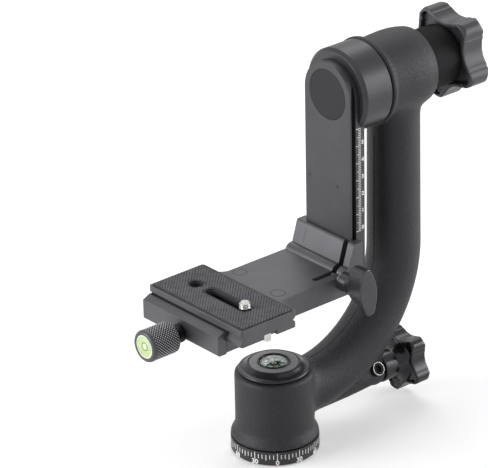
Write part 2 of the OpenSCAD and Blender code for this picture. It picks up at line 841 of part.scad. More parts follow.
module tilt_sleeve() {
    edge = 0.8;
    floor_t = 2;
    color(rubber_black) difference() {
        turned_x([
            [0, sleeve_x0], [sleeve_r - edge, sleeve_x0], [sleeve_r, sleeve_x0 + edge],
            [sleeve_r, sleeve_x1], [0, sleeve_x1]
        ]);
        rod_x(sleeve_x0 - 1, sleeve_x1 - floor_t + seat_gap, tilt_shaft_r + run_gap);
        rod_x(sleeve_x0, sleeve_x1 + 1, tilt_thread_r + run_gap);
    }
}

module tilt_star_knob() {
    color(knob_black) difference() {
        translate([sleeve_x1, 0, tilt_z]) rotate([90, 0, 90]) rotate(60)
            star_knob(tilt_star_r, tilt_star_t, tilt_insert_r + 3, star_floor_t, tilt_star_r * 0.42);
        rod_x(sleeve_x1 - 1, tilt_star_x1 + 1, tilt_insert_r + seat_gap);
    }
}

module tilt_star_insert() {
    color(brass) tube_x(sleeve_x1 + 0.1, tilt_star_x1 - tilt_star_t * recess_part, tilt_insert_r,
                        tilt_thread_r + run_gap);
}

module tilt_star_bolt() {
    head_t = 2.6;
    seat_x = tilt_star_x1 - tilt_star_t * recess_part + run_gap;
    color(steel) translate([seat_x, 0, tilt_z]) rotate([0, 90, 0])
        difference() {
            cylinder(h = head_t, r = tilt_bolt_head_r);
            translate([0, 0, head_t * 0.4]) cylinder(h = head_t, r = 2.5, $fn = 6);
        }
}

// Bracket group
module platform_outline() {
    half = platform_w / 2;
    flare = jaw_half_l - half;
    flare_x = -clamp_x + plate_r_w + 4;
    union() {
        translate([body_end_x, -half]) square([bracket_x1 - body_end_x, platform_w]);
        translate([body_end_x, -jaw_half_l]) square([flare_x - body_end_x, jaw_l]);
        for (side = [-1, 1]) difference() {
            translate([flare_x - join, side > 0 ? half - join : -jaw_half_l])
                square([flare + join, flare + join]);
            translate([flare_x + flare, side * jaw_half_l]) circle(r = flare);
        }
    }
}

// Upright seen along Y, with a sloped face and a rounded ramp at its foot
module upright_outline() {
    ramp_x = upright_foot_x - 0.6;
    ramp_z = platform_z - 1.7;
    polygon(concat(
        [[bracket_x1, platform_bottom], [bracket_x1, upright_top], [upright_face_x + 0.8, upright_top],
         [upright_face_x, upright_top - 0.8], [upright_foot_x, ramp_z + ramp_r]],
        arc(ramp_x, ramp_z, ramp_r, 83, 159, 6),
        [[ramp_x - ramp_r * cos(21), platform_bottom]]
    ));
}

// Dovetail opening for the rail: the rail's own section, grown by the slide clearance
module rail_channel() {
    lip_y = rail_r - rail_groove + slide_gap;
    open_x = groove_x0 + 2 * slide_gap;
    polygon([
        [bracket_x1, -rail_r - slide_gap], [open_x, -rail_r - slide_gap],
        [groove_x1 + 2 * slide_gap, -lip_y], [groove_x1 + 9, -lip_y],
        [groove_x1 + 9, lip_y], [groove_x1 + 2 * slide_gap, lip_y],
        [open_x, rail_r + slide_gap], [bracket_x1, rail_r + slide_gap]
    ]);
}

// Section of the plate's dovetail, grown by a clearance, seen along Y about the clamp's middle
module plate_section(grow = 0, top = slab_z1) {
    lip = plate_z0 + plate_lip_t + grow * 0.4;
    polygon([
        [-plate_r_w - grow, plate_z0 - grow], [-plate_r_w - grow, lip],
        [-plate_waist - grow, lip + plate_groove], [-plate_r_w - grow, slab_z0 + grow],
        [-plate_r_w - grow, top], [plate_r_w + grow, top],
        [plate_r_w + grow, slab_z0 + grow], [plate_waist + grow, lip + plate_groove],
        [plate_r_w + grow, lip], [plate_r_w + grow, plate_z0 - grow]
    ]);
}

module elbow_bracket() {
    guide_hole_end = body_end_x + guide_pin_in + 1;
    color(anodised_black) difference() {
        union() {
            translate([0, 0, platform_bottom]) linear_extrude(platform_t) platform_outline();
            along_y(-upright_r, upright_r) upright_outline();
            translate([bracket_x1 - join, -upright_r, platform_bottom])
                cube([cheek_x1 - bracket_x1 + join, upright_w, upright_top - platform_bottom]);
        }
        translate([0, 0, platform_bottom - 1]) linear_extrude(upright_top - platform_bottom + 2)
            rail_channel();
        plate_channel();
        translate([body_end_x - 1, -jaw_half_l - 1, plate_z0 - slide_gap])
            cube([plate_r_w, jaw_l + 2, platform_t]);
        translate([bracket_x1 - slot_l, slit_y - slit_w / 2, platform_bottom - 1])
            cube([slot_l + rail_t, slit_w, upright_top]);
        translate([bracket_x1 - slot_l, slit_y, platform_bottom - 1])
            cylinder(h = platform_t + 2, r = slit_w / 2);
        rod_y(wing_seat_y - 1, wing_screw_tip + 0.5, wing_screw_r + run_gap, wing_x, wing_z);
        rod_x(body_end_x - 1, body_end_x + jaw_travel + screw_grip + 2, clamp_screw_r + run_gap,
              z = clamp_screw_z);
        guide_rods(body_end_x - 1, guide_hole_end, guide_pin_r + run_gap);
    }
}

// Two rods beside the clamp screw
module guide_rods(x0, x1, r) {
    for (side = [-1, 1]) rod_x(x0, x1, r, y = side * guide_pin_y, z = clamp_screw_z);
}

// Room for the plate's dovetail along the clamp
module plate_channel() {
    along_y(-jaw_half_l - 1, jaw_half_l + 1) translate([-clamp_x, 0])
        plate_section(slide_gap, slab_z1 + 9);
}

// Wing knob group
module wing_washer() {
    color(steel) difference() {
        rod_y(wing_neck_y0 + seat_gap, wing_seat_y - seat_gap, wing_washer_r, wing_x, wing_z);
        rod_y(wing_neck_y0 - 1, wing_seat_y + 1, wing_screw_r + run_gap, wing_x, wing_z);
    }
}

module wing_lens() {
    half_l = wing_l / 2;
    half_w = wing_w / 2;
    lens_r = (half_l * half_l + half_w * half_w) / (2 * half_w);
    tip_r = 1.6;
    intersection() {
        translate([lens_r - half_w, 0]) circle(r = lens_r);
        translate([half_w - lens_r, 0]) circle(r = lens_r);
        circle(r = half_l - tip_r * 0.4);
    }
}

// Wing seen along X: a slab whose back tapers toward the lower tip
module wing_fan() {
    half = wing_l / 2;
    back = wing_t * 0.4;
    polygon([
        [-wing_t, half], [back * 0.3, half], [back, half * 0.86], [back, -half * 0.15],
        [-wing_t * 0.5, -half], [-wing_t, -half]
    ]);
}

module wing_knob() {
    lean = -6.6;
    color(knob_black) difference() {
        union() {
            rod_y(wing_y0 - join, wing_neck_y0, wing_neck_d / 2, wing_x, wing_z);
            translate([wing_x, wing_y0, wing_z]) rotate([0, lean, 0]) intersection() {
                along_y(-wing_t, wing_t * 0.4) wing_lens();
                translate([-wing_w, 0, 0]) rotate([90, 0, 90]) linear_extrude(2 * wing_w) wing_fan();
            }
        }
        rod_y(wing_y0 - 2, wing_neck_y0 + 1, wing_screw_r + seat_gap, wing_x, wing_z);
    }
}

module wing_screw() {
    color(steel) rod_y(wing_y0 - 2 + 0.1, wing_screw_tip, wing_screw_r, wing_x, wing_z);
}

// Clamp group
module jaw_outline() {
    foot_round = 1.2;
    foot_z = platform_bottom - jaw_overhang;
    polygon(concat(
        [[jaw_x1, foot_z]],
        arc(jaw_x0 + foot_round, foot_z + foot_round, foot_round, -90, -180, 4),
        [[jaw_x0, jaw_shoulder_z], [jaw_slope_x, platform_z], [-clamp_x - plate_waist, platform_z],
         [-clamp_x - plate_waist, channel_z + body_gap], [jaw_x1, channel_z + body_gap]]
    ));
}

module clamp_jaw() {
    color(anodised_black) difference() {
        along_y(-jaw_half_l, jaw_half_l) jaw_outline();
        plate_channel();
        rod_x(jaw_x0 - 1, jaw_x1 + 1, clamp_screw_r + run_gap, z = clamp_screw_z);
        guide_rods(jaw_x0 + 1.5, jaw_x1 + 1, guide_pin_r + seat_gap);
    }
}

module jaw_guide_pins() {
    color(steel) guide_rods(jaw_x0 + 1.6, body_end_x + guide_pin_in, guide_pin_r);
}

module clamp_knob() {
    edge = 0.7;
    color(knob_black) difference() {
        turned_x([
            [0, knob_x0], [knob_r - knob_rim, knob_x0], [knob_r, knob_x0 + knob_rim],
            [knob_r, knob_neck_x0 - edge], [knob_r - edge, knob_neck_x0], [knob_neck_r, knob_neck_x0],
            [knob_neck_r, knob_x1], [0, knob_x1]
        ], z = clamp_screw_z);
        rod_x(knob_x0 - 1, knob_x0 + level_t, level_r + seat_gap, z = clamp_screw_z);
        rod_x(knob_neck_x0 - screw_socket, knob_x1 + 1, clamp_screw_r + seat_gap, z = clamp_screw_z);
    }
}

module clamp_screw() {
    color(steel) rod_x(knob_neck_x0 - screw_socket + 0.1, body_end_x + jaw_travel + screw_grip,
                       clamp_screw_r, z = clamp_screw_z);
}

module level_case() {
    color("#e8ece8") difference() {
        rod_x(knob_x0 + 0.3, knob_x0 + level_t, level_r, z = clamp_screw_z);
        rod_x(knob_x0 - 1, knob_x0 + level_t - 1, level_r - level_wall, z = clamp_screw_z);
    }
}

module level_vial() {
    color([0.75, 0.95, 0.25, 0.8]) rod_x(knob_x0 + 0.5, knob_x0 + level_t - 1,
                                        level_r - level_wall - seat_gap, z = clamp_screw_z);
}

// Camera plate group
module camera_plate() {
    color(anodised_black) difference() {
        intersection() {
            along_y(plate_y0, plate_y1) translate([-clamp_x, 0]) plate_section();
            translate([-clamp_x, (plate_y0 + plate_y1) / 2, plate_z0 - 1]) linear_extrude(20)
                rounded_box(plate_w, plate_l, plate_corner);
        }
        plate_slot(plate_z0 - 1, slab_z1 + 1, slot_r);
        plate_slot(plate_z0 - 1, slab_z1 - keeper_floor_t, keeper_r + 2 * run_gap);
        rod_z(plate_z0 - 1, slab_z1 + 1, plate_hole_d / 2, x = -clamp_x, y = hole_y);
        translate([stop_x - 2 * stop_r, plate_y0 - 1, plate_z0 - 1])
            cube([4 * stop_r, stop_y + stop_r + 0.6 - plate_y0 + 1, stop_notch_t + 1]);
        rod_z(plate_z0, plate_z0 + stop_notch_t + 3, 1.2 + seat_gap, x = stop_x, y = stop_y);
        translate([-clamp_x, (plate_y0 + plate_y1) / 2, slab_z1 - pad_sink]) linear_extrude(9)
            rounded_box(plate_w - 2 * pad_border, plate_l - 2 * pad_border, plate_corner);
    }
}

pad_sink = 0.6;

module rounded_box(w, l, r) {
    square([w - 2 * r, l], center = true);
    square([w, l - 2 * r], center = true);
    for (sx = [-1, 1]) for (sy = [-1, 1])
        translate([sx * (w / 2 - r), sy * (l / 2 - r)]) circle(r = r);
}

module plate_slot(z0, z1, r) {
    translate([-clamp_x, 0, z0]) linear_extrude(z1 - z0) union() {
        translate([-r, slot_y0]) square([2 * r, slot_y1 - slot_y0]);
        translate([0, slot_y0]) circle(r = r);
        translate([0, slot_y1]) circle(r = r);
    }
}

module plate_pad() {
    inset = pad_border + seat_gap;
    color(rubber_black) difference() {
        translate([-clamp_x, (plate_y0 + plate_y1) / 2, slab_z1 - pad_sink])
            linear_extrude(pad_sink + pad_rise)
            rounded_box(plate_w - 2 * inset, plate_l - 2 * inset, plate_corner - seat_gap);
        plate_slot(slab_z1 - pad_sink - 1, pad_z1 + 1, slot_r);
        rod_z(slab_z1 - pad_sink - 1, pad_z1 + 1, plate_hole_d / 2, x = -clamp_x, y = hole_y);
    }
}

module plate_stop_screw() {
    color(steel) translate([stop_x, stop_y, plate_z0 + stop_notch_t]) union() {
        translate([0, 0, -stop_notch_t - stop_drop]) cylinder(h = stop_notch_t + stop_drop, r = stop_r);
        translate([0, 0, -join]) cylinder(h = 2.8 + join, r = 1.2);
    }
}

// Sliding keeper ring that holds the camera screw in the slot
module screw_keeper() {
    color(steel) difference() {
        rod_z(keeper_top - keeper_t, keeper_top, keeper_r, x = -clamp_x, y = slot_y0);
        rod_z(plate_z0 - 1, keeper_top + 1, screw_neck_r + run_gap, x = -clamp_x, y = slot_y0);
    }
}

keeper_top = slab_z1 - keeper_floor_t - 0.1;
screw_neck_r = camera_screw_r - 0.45;
screw_neck_rise = 0.4;
screw_tip = 0.6;

module camera_screw() {
    head_z1 = keeper_top - keeper_t - 0.1;
    color(steel) translate([-clamp_x, slot_y0, 0]) difference() {
        union() {
            rod_z(head_z1 - join, pad_z1 + screw_neck_rise + join, screw_neck_r);
            rod_z(pad_z1 + screw_neck_rise, pad_z1 + camera_screw_h - screw_tip, camera_screw_r);
            translate([0, 0, pad_z1 + camera_screw_h - screw_tip])
                cylinder(h = screw_tip, r1 = camera_screw_r, r2 = camera_screw_r - screw_tip);
            rod_z(head_z1 - camera_screw_head_t, head_z1, camera_screw_head_r);
        }
        translate([-camera_screw_head_r, -0.6, head_z1 - camera_screw_head_t - 1])
            cube([2 * camera_screw_head_r, 1.2, 2]);
    }
}

base_plate();
degree_ring();
pan_spindle();
base_screws();
pan_thrust_washer();
pan_retainer();
pan_retainer_screw();
arm_casting();
pan_bush_lower();
pan_bush_upper();
base_cap();
cap_inlay();
compass_case();
compass_pivot();
compass_card();
compass_lens();
tilt_bush_front();
tilt_bush_rear();
pan_brake_pad();
pan_push_rod();
pan_thread_insert();
rod_keeper_screw();
pan_star_knob();
pan_star_bolt();
hub_disc();
tilt_shaft();
swing_rail();
rail_screws();
rail_cover();
tilt_washer();
tilt_sleeve();
tilt_star_knob();
tilt_star_insert();
tilt_star_bolt();
elbow_bracket();
wing_washer();
wing_knob();
wing_screw();
clamp_jaw();
jaw_guide_pins();
clamp_knob();
clamp_screw();
level_case();
level_vial();
camera_plate();
plate_pad();
plate_stop_screw();
screw_keeper();
camera_screw();
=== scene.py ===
"""Looks of a gimbal tripod head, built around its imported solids.

Lengths in the code are millimetres unless a name says otherwise; meshes are written in metres.
"""

import json
from contextlib import contextmanager
from math import asin, cos, hypot, pi, radians, sin, sqrt
from typing import NamedTuple

import bmesh
import bpy
import numpy as np
from bpy.types import Operator, Panel, PropertyGroup
from mathutils import Matrix, Vector


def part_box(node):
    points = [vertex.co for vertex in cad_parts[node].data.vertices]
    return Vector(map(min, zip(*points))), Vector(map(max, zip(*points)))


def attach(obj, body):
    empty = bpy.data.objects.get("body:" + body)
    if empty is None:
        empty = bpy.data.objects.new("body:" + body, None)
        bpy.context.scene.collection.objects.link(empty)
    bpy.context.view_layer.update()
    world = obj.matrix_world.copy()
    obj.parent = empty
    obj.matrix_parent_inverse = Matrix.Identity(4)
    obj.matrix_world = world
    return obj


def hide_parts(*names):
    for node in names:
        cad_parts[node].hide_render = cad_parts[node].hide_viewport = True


bl_info = {
    "name": "Gimbal head looks",
    "version": (1, 0, 0),
    "blender": (4, 5, 0),
    "location": "3D View > Sidebar > Gimbal",
    "description": "Builds the visible pieces, finishes and stage of a gimbal tripod head",
    "category": "Object",
}

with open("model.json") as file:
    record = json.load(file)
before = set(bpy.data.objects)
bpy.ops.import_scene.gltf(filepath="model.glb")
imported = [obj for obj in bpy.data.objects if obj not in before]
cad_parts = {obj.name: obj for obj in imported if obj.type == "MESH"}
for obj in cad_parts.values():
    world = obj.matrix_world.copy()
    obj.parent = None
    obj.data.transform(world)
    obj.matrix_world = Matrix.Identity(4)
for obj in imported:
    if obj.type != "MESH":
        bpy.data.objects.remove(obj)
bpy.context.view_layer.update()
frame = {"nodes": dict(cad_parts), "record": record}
NODES = frame["nodes"]
MM = 0.001
X, Y, Z = range(3)
UP = (0, 0, 1)
SAME = (1, 1, 1)
PRINT_DEPTH = 0.06


# Places taken from the solids

class Box(NamedTuple):
    """Lowest and highest corner of a solid, in millimetres."""

    low: Vector
    high: Vector

    def middle(self, axis):
        return (self.low[axis] + self.high[axis]) / 2

    def half(self, axis):
        return (self.high[axis] - self.low[axis]) / 2


def node_box(name):
    return Box(*[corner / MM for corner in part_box(name)])


RING = node_box("degree_ring")
RAIL = node_box("swing_rail")
HUB = node_box("hub_disc")
PAD = node_box("plate_pad")
KNOB = node_box("clamp_knob")
SLEEVE = node_box("tilt_sleeve")
CARD = node_box("compass_card")
CASE = node_box("compass_case")
LENS = node_box("compass_lens")
CAP = node_box("base_cap")
INLAY = node_box("cap_inlay")
VIAL = node_box("level_vial")
LEVEL = node_box("level_case")
DRIVE = node_box("clamp_screw")
KEEPER = node_box("rod_keeper_screw")
SCREW = node_box("camera_screw")
ROD = node_box("pan_push_rod")
WING_SCREW = node_box("wing_screw")
SCREW_MOUNT = next(m for m in frame["record"]["mounts"] if m["name"] == "camera_screw")
TILT_Z = SLEEVE.middle(Z)
LOCK_Z = ROD.middle(Z)
PLATFORM_Z = 101.5


# Sizes and colours

def length_prop(name, text, size):
    """Property for a length, with its default in millimetres."""
    return bpy.props.FloatProperty(name=name, description=text, default=size * MM, unit="LENGTH")


def colour_prop(name, text, rgb):
    return bpy.props.FloatVectorProperty(name=name, description=text, default=rgb, size=3, subtype="COLOR")


class ScaleSizes(PropertyGroup):
    """Printed degree scale and ruler."""

    degree_step: bpy.props.IntProperty(
        name="Degree step", description="Angle between two ticks", default=5, min=1, max=15)
    zero_angle: bpy.props.FloatProperty(
        name="Zero angle", description="Where the zero of the degree scale faces",
        default=radians(-128.0), subtype="ANGLE")
    tick_width: length_prop("Tick width", "Width of a degree tick", 0.42)
    digit_height: length_prop("Digit height", "Height of the degree numbers", 2.75)
    ruler_zero: length_prop("Ruler zero", "Height of the ruler's zero mark", 121.0)
    ruler_length: bpy.props.IntProperty(
        name="Ruler length", description="Length of the ruler in millimetres", default=61, min=20, max=80)
    ink: colour_prop("Ink", "Colour of the printed marks", (0.86, 0.86, 0.86))


class GripSizes(PropertyGroup):
    """Knurls, studs and moulded grips."""

    knurl_pitch: length_prop("Knurl pitch", "Distance between knurl teeth", 1.72)
    knurl_height: length_prop("Knurl height", "Depth of the knurl grooves", 0.7)
    rib_pitch: length_prop("Pad pitch", "Distance between the pad's studs", 1.45)
    rib_height: length_prop("Pad relief", "Height of the pad's studs, half of it above the pad", 0.45)
    grip_voxel: length_prop("Grip detail", "Voxel size of the moulded knobs", 0.34)
    cast_voxel: length_prop("Casting detail", "Voxel size of the cast arm", 0.62)


class FinishColours(PropertyGroup):
    """Base colours of the finishes."""

    coat: colour_prop("Powder coat", "Cast arm", (0.008, 0.008, 0.009))
    anodised: colour_prop("Anodised", "Machined pieces", (0.070, 0.070, 0.075))
    moulded: colour_prop("Moulded", "Knob plastic", (0.018, 0.018, 0.020))
    rubber: colour_prop("Rubber", "Pad and sleeve", (0.060, 0.060, 0.063))
    steel: colour_prop("Steel", "Bare screws", (0.62, 0.61, 0.59))
    vial: colour_prop("Vial", "Level liquid", (0.50, 0.62, 0.30))


# Mesh helpers

def link(data, name):
    obj = bpy.data.objects.new(name, data)
    bpy.context.scene.collection.objects.link(obj)
    return obj


@contextmanager
def shell_of(source, target):
    """Bmesh of one mesh, written to a target mesh when the block ends."""
    shell = bmesh.new()
    shell.from_mesh(source)
    yield shell
    shell.to_mesh(target)
    shell.free()


def mesh_from(verts_mm, faces, name, dissolve=False):
    """New linked object from points in millimetres, with even normals; dissolve drops faces without area."""
    mesh = bpy.data.meshes.new(name)
    mesh.from_pydata([Vector(v) * MM for v in verts_mm], [], faces)
    with shell_of(mesh, mesh) as shell:
        bmesh.ops.remove_doubles(shell, verts=shell.verts, dist=1e-7)
        if dissolve:
            bmesh.ops.dissolve_degenerate(shell, edges=shell.edges, dist=1e-7)
        bmesh.ops.recalc_face_normals(shell, faces=shell.faces)
    return link(mesh, name)


def absorb(obj, other):
    """Adds another object's mesh to an object's own and removes the other."""
    with shell_of(obj.data, obj.data) as shell:
        shell.from_mesh(other.data)
    bpy.data.objects.remove(other)


def evaluated_mesh(obj):
    bpy.context.view_layer.update()
    return bpy.data.meshes.new_from_object(obj.evaluated_get(bpy.context.evaluated_depsgraph_get()))


def bake_modifiers(obj):
    """Replaces an object's mesh by its evaluated one and drops the modifiers."""
    baked = evaluated_mesh(obj)
    obj.modifiers.clear()
    old = obj.data
    obj.data = baked
    bpy.data.meshes.remove(old)
    return obj


def merged_copy(node, name):
    """Copy of a solid's mesh with its loose triangles joined."""
    mesh = bpy.data.meshes.new(name)
    with shell_of(NODES[node].data, mesh) as shell:
        bmesh.ops.remove_doubles(shell, verts=shell.verts, dist=2e-6)
    return link(mesh, name)


def remeshed(obj, voxel):
    cut = obj.modifiers.new("Voxels", "REMESH")
    cut.mode = "VOXEL"
    cut.voxel_size = voxel
    cut.use_smooth_shade = True
    return bake_modifiers(obj)


def mesh_arrays(obj):
    """Vertex places, vertex normals and edges of an object's mesh."""
    mesh = obj.data
    count = len(mesh.vertices)
    places = np.empty(count * 3)
    mesh.vertices.foreach_get("co", places)
    normals = np.empty(count * 3, np.float32)
    mesh.vertex_normals.foreach_get("vector", normals)
    edges = np.empty(len(mesh.edges) * 2, np.int64)
    mesh.edges.foreach_get("vertices", edges)
    return places.reshape(-1, 3), normals.reshape(-1, 3).astype(float), edges.reshape(-1, 2)


def set_places(obj, places):
    obj.data.vertices.foreach_set("co", places.ravel())
    obj.data.update()


def relax(obj, passes, fill_passes=0, fill_weight=None, soft_passes=0, soft_weight=None):
    """Smooths a mesh a little everywhere, more by soft_weight, and fills hollow corners by fill_weight."""
    fill_step = 0.9
    soft_step = 0.5
    places, normals, edges = mesh_arrays(obj)
    one, other = edges.T
    count = len(places)
    degree = np.maximum(np.bincount(edges.ravel(), minlength=count), 1)[:, None]

    def pull():
        """Way from each vertex to the mean of its neighbours."""
        sums = [np.bincount(one, c[other], count) + np.bincount(other, c[one], count) for c in places.T]
        return np.stack(sums, 1) / degree - places

    for _ in range(fill_passes):
        outward = np.clip((pull() * normals).sum(1), 0, None)
        places += fill_step * normals * (outward * fill_weight)[:, None]
    for _ in range(soft_passes):
        places += soft_step * soft_weight[:, None] * pull()
    for _ in range(passes):
        places += soft_step * pull()
    set_places(obj, places)


def thinned(obj, most):
    """Brings a mesh under a number of triangles."""
    count = sum(len(face.vertices) - 2 for face in obj.data.polygons)
    if count > most:
        cut = obj.modifiers.new("Fewer", "DECIMATE")
        cut.ratio = most / count
        bake_modifiers(obj)
    return obj


def near(values, middle, reach):
    """Weight that is 1 around a middle value and fades to 0 at a reach."""
    return np.clip(2 - 2 * np.abs(values - middle) / reach, 0, 1)


def smooth_shaded(obj, angle=None):
    for face in obj.data.polygons:
        face.use_smooth = True
    if angle is not None:
        obj.data.set_sharp_from_angle(angle=radians(angle))
    return obj


def turns(count):
    """Even angles round a full turn."""
    return [2 * pi * i / count for i in range(count)]


def polar(turn, reach=1.0):
    """Flat place at a reach from the origin."""
    return reach * cos(turn), reach * sin(turn)


def ring_faces(rings, count, closed=True):
    """Quads between neighbouring rings of count points; closed joins the last ring to the first."""
    faces = []
    for i in range(rings if closed else rings - 1):
        j = (i + 1) % rings
        for k in range(count):
            m = (k + 1) % count
            faces.append((i * count + k, j * count + k, j * count + m, i * count + m))
    return faces


def joined(parts):
    """One list of vertices and one of faces from several pairs of them."""
    verts = []
    faces = []
    for more_verts, more_faces in parts:
        start = len(verts)
        verts += more_verts
        faces += [tuple(start + i for i in face) for face in more_faces]
    return verts, faces


def strip(rings):
    """Vertices and faces of a closed strip through rings of points, with a face at each end."""
    count = len(rings[0])
    verts = [point for ring in rings for point in ring]
    ends = [tuple(range(count)), tuple(range(len(verts) - 1, len(verts) - count - 1, -1))]
    return verts, ring_faces(len(rings), count, closed=False) + ends


def prism(outline, low, high):
    """Flat outline raised between two heights."""
    return strip([[(x, y, z) for x, y in outline] for z in (low, high)])


def lathe(profile, name, axis="Z", centre=(0, 0, 0), segments=96):
    """Turns a closed profile of (radius, height) points about an axis."""
    verts = []
    for turn in turns(segments):
        for radius, height in profile:
            flat = polar(turn, radius)
            point = (*flat, height) if axis == "Z" else (height, *flat)
            verts.append(tuple(p + c for p, c in zip(point, centre)))
    return mesh_from(verts, ring_faces(segments, len(profile)), name, dissolve=True)


def torus(name, centre, out, radius, thick):
    """Round ring about a direction."""
    around, across = 40, 10
    side = Vector((1, 0, 0))
    up = out.cross(side)
    verts = []
    for turn in turns(around):
        away = side * cos(turn) + up * sin(turn)
        for bend in turns(across):
            verts.append(centre + away * (radius + thick * cos(bend)) + out * (thick * sin(bend)))
    return smooth_shaded(mesh_from(verts, ring_faces(around, across), name))


# Geometry nodes: one unit shape set on every placed point

def marks_tree():
    """Node tree that sets a shape on each point of its mesh, turned and stretched as the point says."""
    tree = bpy.data.node_groups.new("Placed marks", "GeometryNodeTree")
    for name, kind in (("Points", "Geometry"), ("Shape", "Object")):
        tree.interface.new_socket(name, in_out="INPUT", socket_type="NodeSocket" + kind)
    tree.interface.new_socket("Marks", in_out="OUTPUT", socket_type="NodeSocketGeometry")
    nodes = tree.nodes
    entry = nodes.new("NodeGroupInput").outputs
    leave = nodes.new("NodeGroupOutput").inputs
    shape = nodes.new("GeometryNodeObjectInfo")
    place = nodes.new("GeometryNodeInstanceOnPoints")
    real = nodes.new("GeometryNodeRealizeInstances")
    for name, socket in (("turn", "Rotation"), ("stretch", "Scale")):
        field = nodes.new("GeometryNodeInputNamedAttribute")
        field.data_type = "FLOAT_VECTOR"
        field.inputs["Name"].default_value = name
        wire(tree, (field.outputs["Attribute"], place.inputs[socket]))
    wire(
        tree,
        (entry["Points"], place.inputs["Points"]),
        (entry["Shape"], shape.inputs["Object"]),
        (shape.outputs["Geometry"], place.inputs["Instance"]),
        (place.outputs["Instances"], real.inputs["Geometry"]),
        (real.outputs["Geometry"], leave["Marks"]),
    )
    return tree


def unit_shape(kind):
    """Closed bar, ring or disc, one unit wide and high, about the origin."""
    if kind == "ring":
        rims = ((0.5, -0.5), (0.5, 0.5), (0.42, 0.5), (0.42, -0.5))
        steps = 32
        corners = [(*polar(turn, reach), z) for reach, z in rims for turn in turns(steps)]
        faces = ring_faces(len(rims), steps)
    else:
        square = ((-0.5, -0.5), (0.5, -0.5), (0.5, 0.5), (-0.5, 0.5))
        outline = square if kind == "bar" else [polar(turn, 0.5) for turn in turns(20)]
        corners, faces = prism(outline, -0.5, 0.5)
    mesh = bpy.data.meshes.new("unit_" + kind)
    mesh.from_pydata(corners, [], [face[::-1] for face in faces])
    return bpy.data.objects.new("unit_" + kind, mesh)


def placed_marks(name, kind, size_mm, marks, look, body, slot):
    """Piece made of many small shapes: marks are (place, turn, stretch) in millimetres and radians."""
    places, rotations, stretches = zip(*marks)
    fields = {"turn": np.array(rotations), "stretch": np.array(stretches) * size_mm * MM}
    mesh = bpy.data.meshes.new(name)
    mesh.from_pydata([Vector(place) * MM for place in places], [], [])
    for key, rows in fields.items():
        mesh.attributes.new(key, "FLOAT_VECTOR", "POINT").data.foreach_set("vector", rows.ravel())
    obj = link(mesh, name)
    tree = bpy.data.node_groups.get("Placed marks") or marks_tree()
    shape = unit_shape(kind)
    run = obj.modifiers.new("Marks", "NODES")
    run.node_group = tree
    run[tree.interface.items_tree["Shape"].identifier] = shape
    bake_modifiers(obj)
    bpy.data.objects.remove(shape)
    for key in fields:
        if key in obj.data.attributes:
            obj.data.attributes.remove(obj.data.attributes[key])
    finish_piece(obj, body, slot, look=look)


def facing(normal, up):
    """Euler turn that lays a shape's z along normal and its y along up."""
    z = Vector(normal).normalized()
    y = (Vector(up) - z * Vector(up).dot(z)).normalized()
    x = y.cross(z)
    return tuple(Matrix((x, y, z)).transposed().to_euler())


def printed_numbers(name, height, body, numbers):
    """Piece of thin numbers on a body: each is (words, map from flat x, y, z to a place)."""
    font_share = 1.4
    bold_share = 0.055
    parts = []
    for words, to_place in numbers:
        curve = bpy.data.curves.new("digits", "FONT")
        curve.body = words
        curve.align_x = curve.align_y = "CENTER"
        curve.size = height * font_share
        curve.extrude = PRINT_DEPTH / 2
        curve.offset = height * bold_share
        curve.resolution_u = 3
        obj = link(curve, "digits")
        mesh = evaluated_mesh(obj)
        parts.append(([to_place(*v.co) for v in mesh.vertices], [p.vertices[:] for p in mesh.polygons]))
        bpy.data.objects.remove(obj)
        bpy.data.curves.remove(curve)
        bpy.data.meshes.remove(mesh)
    finish_piece(mesh_from(*joined(parts), name), body, "anodised", look="ink")


def tick_length(step, major, medium, lengths):
    """Long, middle or short tick for one step of a scale."""
    long, middle, short = lengths
    return long if step % major == 0 else middle if step % medium == 0 else short


# Finishes

def shader(name):
    """Material with its node tree and surface shader, or with None for both where it exists."""
    mat = bpy.data.materials.get(name)
    if mat:
        return mat, None, None
    mat = bpy.data.materials.new(name)
    mat.use_nodes = True
    return mat, mat.node_tree, mat.node_tree.nodes["Principled BSDF"]


def set_inputs(node, **values):
    """Sets a node's inputs by name, with spaces written as underscores."""
    for key, value in values.items():
        node.inputs[key.replace("_", " ")].default_value = value
    return node


def put(tree, kind, **values):
    """Adds a node and sets its inputs."""
    return set_inputs(tree.nodes.new(kind), **values)


def wire(tree, *pairs):
    """Links outputs to inputs."""
    for start, end in pairs:
        tree.links.new(start, end)


def object_noise(tree, scale, detail=2.0, roughness=0.5):
    place = tree.nodes.new("ShaderNodeTexCoord")
    noise = put(tree, "ShaderNodeTexNoise", Scale=scale, Detail=detail, Roughness=roughness)
    wire(tree, (place.outputs["Object"], noise.inputs["Vector"]))
    return noise.outputs["Fac"]


def vary_colour(tree, surface, factor, colour, tones, ends=(0.35, 0.68)):
    """Base colour that drifts between a darker and a lighter tone of one colour."""
    ramp = tree.nodes.new("ShaderNodeValToRGB")
    for stop, tone, end in zip(ramp.color_ramp.elements, tones, ends):
        stop.position = end
        stop.color = (*[c * tone for c in colour], 1)
    wire(tree, (factor, ramp.inputs["Fac"]), (ramp.outputs["Color"], surface.inputs["Base Color"]))


def vary_roughness(tree, surface, factor, low, high):
    span = put(tree, "ShaderNodeMapRange", From_Min=0.3, From_Max=0.7, To_Min=low, To_Max=high)
    wire(tree, (factor, span.inputs["Value"]), (span.outputs["Result"], surface.inputs["Roughness"]))


